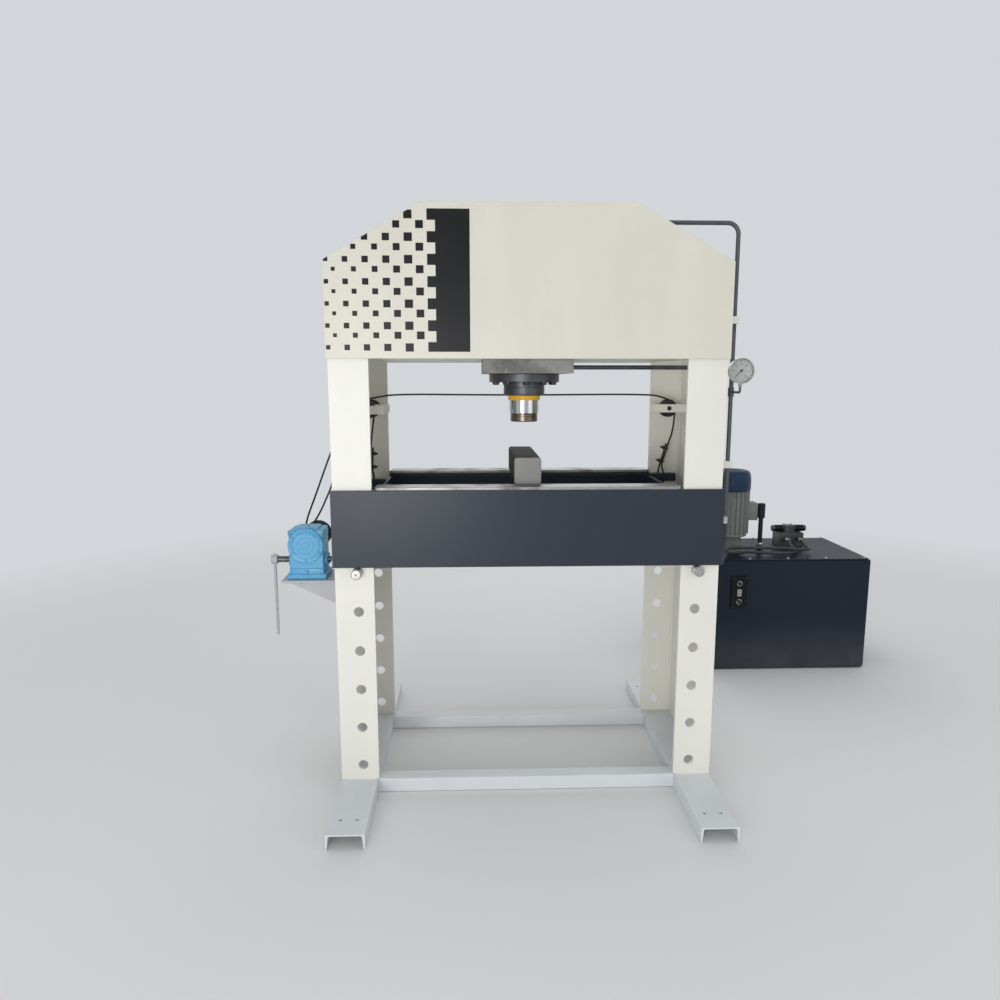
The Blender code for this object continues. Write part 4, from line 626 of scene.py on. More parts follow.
def bent_path(corners: list, bend: float, spacing: float = 0.006) -> np.ndarray:
    """Straight runs joined by round bends; each bend is an arc that touches both runs.

    Args:
        corners: the points where the runs meet.
        bend: the bends' radius.
        spacing: metres between the points.

    Returns:
        The path's points.
    """
    corners = [Vector(corner) for corner in corners]
    route = [corners[0]]
    for before, corner, after in zip(corners, corners[1:], corners[2:]):
        inward, outward = (before - corner).normalized(), (after - corner).normalized()
        half = inward.angle(outward) / 2
        centre = corner + (inward + outward).normalized() * bend / math.sin(half)
        start, end = corner + inward * bend / math.tan(half), corner + outward * bend / math.tan(half)
        turn = (start - centre).angle(end - centre)
        route += [centre + ((start - centre) * math.sin((1 - share) * turn)
                            + (end - centre) * math.sin(share * turn)) / math.sin(turn)
                  for share in np.linspace(0, 1, 13)]
    return even_path(np.array([tuple(point) for point in route + [corners[-1]]]), spacing)


def path_length(path: np.ndarray) -> float:
    """The length of a path."""
    return float(np.linalg.norm(np.diff(path, axis=0), axis=1).sum())


def sweep(path: np.ndarray, radius: "float | np.ndarray", sides: int = 20, lobes: int = 0,
          pitch: float = 0.05, cut: float = 0.17) -> Shape:
    """A round section carried along a path without twist; lobes are strands that wind once in each pitch.

    The point at angle a and run s is path(s) + r * (cos a * u + sin a * v), and with lobes r is
    radius * (1 - cut * (1 - |cos(lobes / 2 * (a - 2 pi s / pitch))|)).

    Args:
        path: the centre line.
        radius: one radius, or one for each point.
        sides: points round the section.
        lobes: how many strands show, 0 for a smooth tube.
        pitch: the strands' lay length.
        cut: how deep the valleys between strands are.

    Returns:
        The tube, closed at both ends.
    """
    tangent = np.gradient(path, axis=0)
    tangent /= np.linalg.norm(tangent, axis=1)[:, None]
    across = np.cross(tangent[0], (0, 1, 0) if abs(tangent[0, 1]) < 0.8 else (1, 0, 0))
    across /= np.linalg.norm(across)
    firsts = [across]
    for direction in tangent[1:]:
        across = across - direction * across.dot(direction)
        across = across / np.linalg.norm(across)
        firsts.append(across)
    first = np.array(firsts)
    second = np.cross(tangent, first)
    angle = np.linspace(0, 2 * np.pi, sides, endpoint=False)[None, :]
    reach = np.broadcast_to(np.asarray(radius, float).reshape(-1, 1), (len(path), sides)).copy()
    if lobes:
        run = np.r_[0, np.cumsum(np.linalg.norm(np.diff(path, axis=0), axis=1))][:, None]
        reach *= 1 - cut * (1 - np.abs(np.cos(lobes / 2 * (angle - 2 * np.pi * run / pitch))))
    rings = (path[:, None] + (reach * np.cos(angle))[..., None] * first[:, None]
             + (reach * np.sin(angle))[..., None] * second[:, None])
    return skin(rings)


def weld(start: tuple, end: tuple, radius: float = 0.0042) -> Shape:
    """A weld bead: a tube whose radius ripples and is drawn in at both ends.

    At run s it is radius * (1 + 0.13 * sin(2 pi s / 7 mm) + 0.05 * sin(2 pi s / 31 mm)).

    Args:
        start, end: the bead's ends.
        radius: its middle radius.

    Returns:
        The bead.
    """
    path = even_path(np.array([start, end], float), 0.0023)
    run = np.linspace(0, path_length(path), len(path))
    ripple = 1 + 0.13 * np.sin(2 * np.pi * run / 0.007) + 0.05 * np.sin(2 * np.pi * run / 0.031)
    ripple[0] = ripple[-1] = 0.45
    return sweep(path, radius * ripple, 6)


def prism(outline: list, low: float, high: float, axis: Axis = Axis.Z) -> Shape:
    """An outline carried straight along an axis.

    Args:
        outline: points of (first, second), along the axis's two cross directions.
        low, high: where it starts and ends along the axis.
        axis: the axis.

    Returns:
        The solid.
    """
    along, first, second = (np.array(part, float) for part in axis.value)
    flat = np.array(outline, float)
    ring = flat[:, :1] * first + flat[:, 1:] * second
    return skin(np.stack([ring + low * along, ring + high * along]))


def block(low: tuple, high: tuple) -> Shape:
    """A rectangular solid between two corners; piece() eases its edges."""
    (x0, y0, z0), (x1, y1, z1) = low, high
    return prism([(x0, y0), (x1, y0), (x1, y1), (x0, y1)], z0, z1)


def hex_bolt(place: tuple, axis: Axis, way: int, size: float, washer: bool = True) -> list[Shape]:
    """A hexagon head with its chamfer, on a washer.

    Args:
        place: the middle of the face it sits on.
        axis: the bolt's axis.
        way: +1 or -1, which way the head points.
        size: half the distance over the head's corners.
        washer: False for a bare head.

    Returns:
        The head and the washer.
    """
    sunk = -0.0006 * way
    top = size * 0.75 + (0.0018 if washer else 0)
    head = [(0, sunk), (size, sunk), (size, (top - size * 0.14) * way), (size * 0.82, top * way),
            (0, top * way)]
    shapes = [lathe(head, place, axis, 6)]
    if washer:
        ring = [(0, sunk), (size * 1.25, sunk), (size * 1.25, 0.0014 * way), (size * 1.18, 0.0018 * way),
                (0, 0.0018 * way)]
        shapes.append(lathe(ring, place, axis, 20))
    return shapes


def bolt_ring(centre: tuple, axis: Axis, way: int, size: float, radius: float, count: int, start: float,
              washer: bool = True) -> list[Shape]:
    """Bolts spaced evenly round a circle, at centre + radius * (cos a * first + sin a * second).

    Args:
        centre: the circle's middle.
        axis, way, size, washer: the bolts', as for hex_bolt.
        radius: the circle's radius.
        count: how many bolts.
        start: the first bolt's angle in degrees.

    Returns:
        The bolts' surfaces.
    """
    _, first, second = (np.array(part, float) for part in axis.value)
    angles = np.radians(start + 360 / count * np.arange(count))[:, None]
    places = np.array(centre) + radius * (np.cos(angles) * first + np.sin(angles) * second)
    return [shape for place in places.tolist() for shape in hex_bolt(tuple(place), axis, way, size, washer)]


def letters(text: str, size: float, x: float, y: float, z: float) -> Shape:
    """Raised figures that face the front.

    Args:
        text: the figures.
        size: their height.
        x, y, z: the middle of the text.

    Returns:
        The figures' surface.
    """
    curve = bpy.data.curves.new("figures", "FONT")
    curve.body = text
    curve.size = size
    curve.align_x = "CENTER"
    curve.align_y = "CENTER"
    curve.extrude = 0.00008
    curve.resolution_u = 3
    holder = bpy.data.objects.new("figures", curve)
    bpy.context.scene.collection.objects.link(holder)
    bpy.context.view_layer.update()
    mesh = bpy.data.meshes.new_from_object(holder.evaluated_get(bpy.context.evaluated_depsgraph_get()))
    points = np.empty(len(mesh.vertices) * 3)
    mesh.vertices.foreach_get("co", points)
    flat = points.reshape(-1, 3)
    shape = Shape(np.stack([flat[:, 0] + x, y - flat[:, 2], flat[:, 1] + z], axis=1),
                  [list(face.vertices) for face in mesh.polygons])
    bpy.data.objects.remove(holder)
    bpy.data.meshes.remove(mesh)
    return shape


def ease_edges(work: bmesh.types.BMesh, width: float, steps: int = 2) -> None:
    """Rounds every edge sharper than 30 degrees, and marks the new faces with the edge attribute.

    Args:
        work: the mesh.
        width: the rounding's width in metres, 0 for none.
        steps: faces across it.
    """
    layer = work.faces.layers.float.new("edge")
    if width <= 0:
        return
    sharp = [edge for edge in work.edges
             if len(edge.link_faces) == 2 and edge.calc_face_angle(0) > math.radians(30)]
    made = bmesh.ops.bevel(work, geom=sharp, offset=width, offset_type="OFFSET", segments=steps, profile=0.5,
                           affect="EDGES", clamp_overlap=True)
    for face in made["faces"]:
        face[layer] = 1.0


def settle(name: str, work: bmesh.types.BMesh, finish: Finish, body: str, stands_for: tuple[str, ...],
           cut_angle: float) -> bpy.types.Object:
    """Turns a worked mesh into a piece that rides on its body.

    Args:
        name: the piece's name.
        work: its mesh, which is freed.
        finish: its finish.
        body: the body it rides on.
        stands_for: the CAD nodes it replaces.
        cut_angle: edges sharper than this, in degrees, stay crisp.

    Returns:
        The piece.
    """
    mesh = bpy.data.meshes.new(name)
    work.to_mesh(mesh)
    work.free()
    mesh.polygons.foreach_set("use_smooth", np.ones(len(mesh.polygons), bool))
    mesh.set_sharp_from_angle(angle=math.radians(cut_angle))
    mesh.materials.append(finish.material())
    made = bpy.data.objects.new(name, mesh)
    bpy.context.scene.collection.objects.link(made)
    if body:
        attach(made, body)
    if stands_for:
        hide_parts(*stands_for)
    LOG.info("%s: %d faces", name, len(mesh.polygons))
    return made


def piece(name: str, shapes: list[Shape], finish: Finish, body: str = "frame",
          stands_for: tuple[str, ...] = (), ease: float = 0.0, cut_angle: float = 34.0) -> bpy.types.Object:
    """One piece from one or more closed surfaces, with doubles merged and faces turned outwards.

    Args:
        name: the piece's name.
        shapes: its surfaces.
        finish: its finish.
        body: the body it rides on.
        stands_for: the CAD nodes it replaces.
        ease: the width of its rounded edges.
        cut_angle: edges sharper than this stay crisp.

    Returns:
        The piece.
    """
    work = bmesh.new()
    mesh = bpy.data.meshes.new("shapes")
    starts = np.cumsum([0] + [len(shape.points) for shape in shapes])
    faces = [[int(start) + corner for corner in face] for start, shape in zip(starts, shapes)
             for face in shape.faces]
    mesh.from_pydata(np.vstack([shape.points for shape in shapes]).tolist(), [], faces)
    work.from_mesh(mesh)
    bpy.data.meshes.remove(mesh)
    bmesh.ops.remove_doubles(work, verts=work.verts, dist=MERGE_DISTANCE)
    bmesh.ops.recalc_face_normals(work, faces=work.faces)
    ease_edges(work, ease)
    return settle(name, work, finish, body, stands_for, cut_angle)


def eased(node: str, finish: Finish, width: float = 0.0014, cut_angle: float = 34.0) -> bpy.types.Object:
    """A copy of a CAD node, merged, with its flat faces joined and its edges rounded, in place of the node.

    Args:
        node: the node's name.
        finish: its finish.
        width: the rounding's width.
        cut_angle: edges sharper than this stay crisp.

    Returns:
        The piece.
    """
    source = frame["nodes"][node]
    work = bmesh.new()
    work.from_mesh(source.data)
    bmesh.ops.remove_doubles(work, verts=work.verts, dist=MERGE_DISTANCE)
    bmesh.ops.dissolve_limit(work, angle_limit=math.radians(0.6), verts=work.verts, edges=work.edges)
    ease_edges(work, width)
    made = settle(f"dressed_{node}", work, finish, source["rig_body"], (node,), cut_angle)
    weights = made.modifiers.new("even_normals", "WEIGHTED_NORMAL")
    weights.keep_sharp = True
    return made


def stand_in(node: str, shapes: list[Shape], finish: Finish, cut_angle: float = 34.0) -> bpy.types.Object:
    """New surfaces in place of one CAD node, on that node's own body.

    Args:
        node: the node's name.
        shapes: the surfaces.
        finish: their finish.
        cut_angle: edges sharper than this stay crisp.

    Returns:
        The piece.
    """
    return piece(f"dressed_{node}", shapes, finish, frame["nodes"][node]["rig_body"], (node,),
                 cut_angle=cut_angle)


@dataclass
class Studio:
    """The camera at the photograph's place, a pale floor, soft lamps and a pale surround."""
    place: tuple[float, float, float] = (-0.2035, -2.8738, 1.6517)
    pitch: float = 0.1575
    turn: float = 0.0328
    lens: float = 27.0
    sensor: float = 36.0
    floor_colour: Colour = srgb(226, 227, 226)
    shown: Colour = srgb(210, 214, 218)
    light: Colour = (0.95, 0.97, 1.0)
    light_strength: float = 0.66
    middle: tuple[float, float] = (0.5, 0.6)
    fade: tuple[float, float] = (5.0, 36.0)
    floor_z: float = -0.0008
    floor_corners: tuple = ((-16, -12), (16, -12), (16, 20), (-16, 20))

    def build(self) -> None:
        """Makes the camera, the floor, the surround and the lamps."""
        camera = bpy.data.objects.new("camera", bpy.data.cameras.new("camera"))
        camera.data.lens = self.lens
        camera.data.sensor_width = self.sensor
        camera.location = self.place
        camera.rotation_euler = (math.pi / 2 - self.pitch, 0, -self.turn)
        bpy.context.scene.collection.objects.link(camera)
        bpy.context.scene.camera = camera
        self.build_floor()
        self.build_surround()
        for name, place, aim, size, power in (
                ("key", (-1.4, -4.7, 1.1), (0, 0.3, 0.9), 1.9, 84),
                ("fill", (3.8, -3.2, 2.6), (0.8, 0.6, 0.9), 3.0, 22),
                ("top", (0.2, 0.6, 5.2), (0.2, 0.5, 0), 3.4, 20),
                ("back", (0.5, 5.0, 3.6), (0.4, 0.6, 1.0), 3.2, 34)):
            lamp = bpy.data.objects.new(name, bpy.data.lights.new(name, "AREA"))
            lamp.data.size = size
            lamp.data.energy = power
            lamp.location = place
            lamp.rotation_euler = (Vector(aim) - Vector(place)).to_track_quat("-Z", "Y").to_euler()
            bpy.context.scene.collection.objects.link(lamp)
        bpy.context.scene.view_settings.view_transform = "Standard"

    def build_floor(self) -> None:
        """A wide flat floor, faintly uneven in tone, that fades into the surround's colour far away.

        The fade starts and ends at these squares of the distance from the middle, in square metres.
        """
        tree = Tree("studio_floor")
        tone = tree.mix(tree.noise(0.8, 3.0), self.floor_colour, toned(self.floor_colour, 0.97))
        tree.set(Base_Color=tone, Roughness=0.8, Specular_IOR_Level=0.2)
        across, along = tree.part("X") - self.middle[0], tree.part("Y") - self.middle[1]
        far = (across * across + along * along).steps(*self.fade)
        seen = Value(tree, tree.make("ShaderNodeLightPath").outputs["Is Camera Ray"])
        emission = tree.make("ShaderNodeEmission", None, {"Color": self.shown, "Strength": 1.0})
        glow = Value(tree, emission.outputs[0])
        ground = Value(tree, tree.shader.outputs[0])
        faded = tree.make("ShaderNodeMixShader", None, {0: far * seen, 1: ground, 2: glow})
        output = next(node for node in tree.nodes if node.type == "OUTPUT_MATERIAL")
        tree.material.node_tree.links.new(faded.outputs[0], output.inputs["Surface"])
        work = bmesh.new()
        for x, y in self.floor_corners:
            work.verts.new((x, y, self.floor_z))
        work.faces.new(work.verts)
        floor = settle("studio_floor", work, CREAM, "", (), 30)
        floor.data.materials.clear()
        floor.data.materials.append(tree.material)

    def build_surround(self) -> None:
        """A world that is pale to the camera, in gloss and through glass, and plain as light."""
        world = bpy.data.worlds.new("surround")
        bpy.context.scene.world = world
        world.use_nodes = True
        nodes, links = world.node_tree.nodes, world.node_tree.links
        nodes.clear()
        rays = nodes.new("ShaderNodeLightPath")
        seen = rays.outputs["Is Camera Ray"]
        for name in ("Is Glossy Ray", "Is Transmission Ray"):
            either = nodes.new("ShaderNodeMath")
            either.operation = "MAXIMUM"
            links.new(seen, either.inputs[0])
            links.new(rays.outputs[name], either.inputs[1])
            seen = either.outputs[0]
        shown, light = nodes.new("ShaderNodeBackground"), nodes.new("ShaderNodeBackground")
        mixed = nodes.new("ShaderNodeMixShader")
        shown.inputs["Color"].default_value = (*self.shown, 1)
        shown.inputs["Strength"].default_value = 1.0
        light.inputs["Color"].default_value = (*self.light, 1)
        light.inputs["Strength"].default_value = self.light_strength
        output = nodes.new("ShaderNodeOutputWorld")
        links.new(seen, mixed.inputs[0])
        links.new(light.outputs[0], mixed.inputs[1])
        links.new(shown.outputs[0], mixed.inputs[2])
        links.new(mixed.outputs[0], output.inputs[0])


@dataclass
class Hoses:
    """The two oil hoses from the upright's pipes to the power pack's valve block."""
    radius: float = 0.009
    sleeve: float = 0.0118
    groove: float = 0.0112
    routes: dict = field(default_factory=lambda: {
        "pressure_hose": [
            (0.871, 0.3095, 1.0755), (0.871, 0.3095, 1.040), (0.873, 0.316, 0.985), (0.884, 0.350, 0.925),
            (0.912, 0.440, 0.860), (0.965, 0.600, 0.800), (1.030, 0.790, 0.755), (1.100, 0.980, 0.726),
            (1.165, 1.140, 0.705), (1.215, 1.270, 0.688), (1.275, 1.345, 0.6683), (1.370, 1.372, 0.6683),
            (1.480, 1.350, 0.6683), (1.580, 1.330, 0.6683), (1.655, 1.365, 0.6683), (1.680, 1.440, 0.6690),
            (1.681, 1.485, 0.6780), (1.682, 1.532, 0.7000), (1.682, 1.5577, 0.7000)],
        "return_hose": [
            (0.800, 0.3095, 1.0755), (0.800, 0.3095, 1.040), (0.802, 0.320, 0.980), (0.812, 0.362, 0.905),
            (0.845, 0.470, 0.830), (0.905, 0.640, 0.775), (0.985, 0.830, 0.745), (1.075, 1.010, 0.735),
            (1.165, 1.175, 0.722), (1.240, 1.300, 0.706), (1.320, 1.385, 0.6900), (1.420, 1.400, 0.6865),
            (1.505, 1.393, 0.6870), (1.575, 1.375, 0.6885), (1.640, 1.353, 0.6892), (1.671, 1.347, 0.6880),
            (1.7054, 1.3539, 0.6860), (1.7346, 1.3734, 0.6832), (1.7541, 1.4026, 0.6805),
            (1.7610, 1.4370, 0.6786), (1.7608, 1.4570, 0.6790), (1.7606, 1.4775, 0.6817),
            (1.7604, 1.4980, 0.6890), (1.7602, 1.5185, 0.6963), (1.760, 1.5385, 0.6996),
            (1.760, 1.5577, 0.7000)]})

    def build(self) -> None:
        for name, route in self.routes.items():
            path = smooth_path([(x, depth(back), z) for x, back, z in route], 0.006)
            hose = stand_in(name, [sweep(path, self.radius, 24)], HOSE)
            sleeve = [(self.radius, 0), (self.sleeve, 0)]
            for start in (0.006, 0.017):
                sleeve += [(self.sleeve, start), (self.groove, start + 0.002), (self.groove, start + 0.005),
                           (self.sleeve, start + 0.007)]
            sleeve += [(self.sleeve, 0.030), (self.radius, 0.031)]
            top, end = path[0], path[-1]
            upper = lathe([(r, -h) for r, h in sleeve], tuple(top), Axis.Z, 32, loop=True)
            lower = lathe([(r, -h * 0.8) for r, h in sleeve], tuple(end), Axis.Y, 32, loop=True)
            sleeves = piece(f"{name}_sleeves", [upper, lower], ZINC)


@dataclass
class Uprights:
    """Both uprights, their feet and the two sills, with the weld beads that join them."""
    web_inner: float = 0.738
    web_outer: float = 0.7495
    flange_inner: float = 0.612
    foot_top: float = 0.059
    weld_top: float = 1.730
    flange_backs: tuple[float, float] = (0.016, 0.603)
    flange_faces: tuple[float, float] = (0.0, 0.619)
    web_welds: tuple[float, float] = (0.02, 0.60)
    corner_bead: float = 0.0056
    foot_bead: float = 0.0035

    def build(self) -> None:
        """Eases the plates and lays the welds."""
        for side, sign in SIDES:
            for plate in ("front_flange", "rear_flange", "web"):
                eased(f"{side}_{plate}", CREAM, 0.0016)
            eased(f"{side}_foot", PALE_GREY, 0.0022)
            corner = sign * (self.web_inner - 0.001)
            sole = self.foot_top + 0.001
            beads = []
            for back, way in zip(self.flange_backs, (1, -1)):
                y = depth(back) + way * 0.001
                beads.append(weld((corner, y, self.foot_top + 0.004), (corner, y, self.weld_top),
                                  self.corner_bead))
            for y in map(depth, self.flange_faces):
                beads.append(weld((sign * self.flange_inner, y, sole), (sign * self.web_inner, y, sole),
                                  self.foot_bead))
            near, far = map(depth, self.web_welds)
            beads.append(weld((sign * self.web_outer, near, sole), (sign * self.web_outer, far, sole),
                              self.foot_bead))
            piece(f"{side}_upright_welds", beads, CREAM, cut_angle=60)
        for sill in ("front_sill", "rear_sill"):
            eased(sill, PALE_GREY, 0.0020)


@dataclass
class Head:
    """The head's plates, and the dark panel with its fading squares on the front plate."""
    face: float = -0.0163
    film: float = 0.0003
    left: float = -0.755
    shoulder: float = 2.085
    slope: float = 0.5611
    bottom: float = 1.7510
    rib: float = 0.2085
    rib_top: float = 2.170
    rib_back: float = 0.004
    plate_faces: tuple[float, float] = (0.001, 0.618)
    bottom_welds: tuple = ((-0.580, -0.200), (0.200, 0.580))
    panel_right: float = -0.2204
    tab_left: float = -0.3750
    notch_left: float = -0.3449
    top_row: float = 2.2428
    row_pitch: float = 0.03913
    rows: int = 13
    row_rise: float = 0.0045
    edge_margin: float = 0.0015
    slope_margin: float = 0.002
    long_row: tuple = ((-0.4433, 0.030), (-0.5236, 0.026), (-0.5999, 0.023), (-0.6722, 0.020),
                       (-0.7415, 0.016))
    short_row: tuple = ((-0.4021, 0.028), (-0.4855, 0.025), (-0.5648, 0.021), (-0.6411, 0.018),
                        (-0.7154, 0.014))

    def build(self) -> None:
        """Eases the plates, then lays the film and the welds."""
        # The head's plates and welds take the darker cream, which is painted shade.
        for node in ("head_front_plate", "head_rear_plate", "head_bottom_plate"):
            eased(node, SHADED_HEAD_CREAM, 0.0016)
        self.build_film()
        y = depth(self.rib_back)
        beads = [weld((x, y, self.bottom + 0.001), (x, y, self.rib_top)) for x in (-self.rib, self.rib)]
        for y in map(depth, self.plate_faces):
            beads += [weld((low, y, self.bottom), (high, y, self.bottom)) for low, high in self.bottom_welds]
        piece("head_welds", beads, SHADED_HEAD_CREAM, cut_angle=60)

    def inside(self, corners: list) -> list:
        """The part of a square that lies on the plate: cut at its left edge and along its slope.

        Args:
            corners: the square's (x, z) corners, in order.

        Returns:
            The corners that are left.
        """
        for level in (lambda p: p[0] - self.left - self.edge_margin,
                      lambda p: self.shoulder + (p[0] - self.left) * self.slope - self.slope_margin - p[1]):
            kept = []
            for here, there in zip(corners, corners[1:] + corners[:1]):
                a, b = level(here), level(there)
                if a >= 0:
                    kept.append(here)
                if a * b < 0:
                    share = a / (a - b)
                    kept.append((here[0] + (there[0] - here[0]) * share,
                                 here[1] + (there[1] - here[1]) * share))
            corners = kept
        return corners

    def build_film(self) -> None:
        """The panel's outline steps in and out at each row, and squares fade out to its left."""
        y_near, y_far = depth(self.face) - self.film, depth(self.face) + 0.0006
        low = self.top_row - self.row_pitch * (self.rows - 0.5) + 0.004
        outline = [(self.panel_right, low), (self.panel_right, self.top_row + self.row_pitch / 2)]
        for row in range(self.rows):
            x = self.tab_left if row % 2 == 0 else self.notch_left
            middle = self.top_row - self.row_pitch * row
            outline += [(x, middle + self.row_pitch / 2), (x, max(low, middle - self.row_pitch / 2))]
        shapes = [prism([(z, x) for x, z in outline], y_near, y_far, Axis.Y)]
        for row in range(self.rows):
            z = self.top_row - self.row_pitch * row + (0.0 if row % 2 == 0 else self.row_rise)
            for x, size in (self.long_row if row % 2 == 0 else self.short_row):
                half = size / 2
                corners = self.inside([(x - half, z - half), (x + half, z - half), (x + half, z + half),
                                       (x - half, z + half)])
                if len(corners) > 2:
                    shapes.append(prism([(b, a) for a, b in corners], y_near, y_far, Axis.Y))
        piece("head_dark_film", shapes, VINYL)


@dataclass
class RamUnit:
    """The cylinder under the head: mounting plate, flanged barrel, gland, wiper, ram and nose."""
    axis: tuple[float, float, float] = (0.0, depth(0.3095), 0.0)
    flange_face: float = 1.6464
    bolt_circle: float = 0.1235

    def build(self) -> None:
        """Turns the round pieces smooth and adds the flange's bolts."""
        eased("cylinder_mount_plate", SCUFFED, 0.0022)
        barrel = [(0, 2.225), (0.0170, 2.225), (0.0190, 2.223), (0.0190, 2.2015), (0.0215, 2.200),
                  (0.119, 2.200), (0.125, 2.194), (0.125, 1.6804), (0.1425, 1.6804), (0.145, 1.6779),
                  (0.145, 1.6489), (0.1425, self.flange_face), (0.100, self.flange_face), (0.100, 2.165),
                  (0, 2.165)]
        gland = [(0.0618, 1.7081), (0.0977, 1.7081), (0.0997, 1.7061), (0.0997, 1.6461), (0.085, 1.6461),
                 (0.085, 1.628), (0.0838, 1.627), (0.0838, 1.6245), (0.085, 1.6235), (0.085, 1.5971),
                 (0.081, 1.5931), (0.0618, 1.5931)]
        wiper = [(0.0618, 1.5928), (0.0655, 1.5928), (0.0665, 1.5918), (0.0665, 1.5778), (0.0650, 1.5740),
                 (0.0635, 1.5728), (0.0618, 1.5728)]
        ram = [(0, 2.117), (0.0977, 2.117), (0.0997, 2.115), (0.0997, 2.057), (0.0615, 2.057),
               (0.0615, 1.5205), (0.0590, 1.518), (0.030, 1.518), (0.030, 1.506), (0, 1.506)]
        nose = [(0, 1.5057), (0.0303, 1.5057), (0.0303, 1.5177), (0.0545, 1.5177), (0.0565, 1.5157),
                (0.0565, 1.5085), (0.0556, 1.5075), (0.0556, 1.5060), (0.0565, 1.5050), (0.0565, 1.4877),
                (0.0535, 1.4847), (0, 1.4847)]
        for node, profile, finish, ring in (
                ("cylinder_barrel", barrel, DARK_STEEL, False), ("cylinder_gland", gland, DARK_STEEL, True),
                ("wiper_ring", wiper, YELLOW, True), ("ram", ram, CHROME, False),
                ("ram_nose", nose, NOSE, False)):
            stand_in(node, [lathe(profile, self.axis, sides=96, loop=ring)], finish)
        bolts = bolt_ring((*self.axis[:2], self.flange_face), Axis.Z, -1, 0.0125, self.bolt_circle, 10, 18)
        piece("flange_bolts", bolts, BOLT, cut_angle=25)


@dataclass
class Bed:
    """The bed's channels and end plates, its two rests, the loose bar, and the pins below."""
    pin_radius: float = 0.0195
    pin_height: float = 0.9198
    pin_x: float = 0.662
    channel_end: float = 0.579
    channel_backs: tuple[float, float] = (0.0005, 0.6185)
    weld_heights: tuple[float, float] = (0.956, 1.224)

    def build(self) -> None:
        """Eases the plates, lays the welds, and turns the pins."""
        for node in ("bed_front_channel", "bed_rear_channel", "left_bed_end_plate", "right_bed_end_plate"):
            eased(node, SLATE, 0.0018)
        for node in ("front_bed_rest", "rear_bed_rest"):
            eased(node, REST_STEEL, 0.0022)
        eased("press_bar", BAR_STEEL, 0.0012, 24)
        low, high = self.weld_heights
        beads = [weld((x, y, low), (x, y, high), 0.0038)
                 for x in (-self.channel_end, self.channel_end) for y in map(depth, self.channel_backs)]
        piece("bed_welds", beads, SLATE, "bed", cut_angle=60)
        radius = self.pin_radius
        profile = [(0, -0.040), (0.0022, -0.0415), (0.0045, -0.045), (radius - 0.003, -0.045),
                   (radius, -0.042), (radius, -0.036), (radius - 0.0018, -0.035), (radius - 0.0018, -0.032),
                   (radius, -0.031), (radius, 0.661), (radius - 0.003, 0.664), (0, 0.664)]
        for side, sign in SIDES:
            pin = lathe(profile, (sign * self.pin_x, depth(0), self.pin_height), Axis.Y, 48)
            stand_in(f"{side}_bed_pin", [pin], PIN_STEEL)


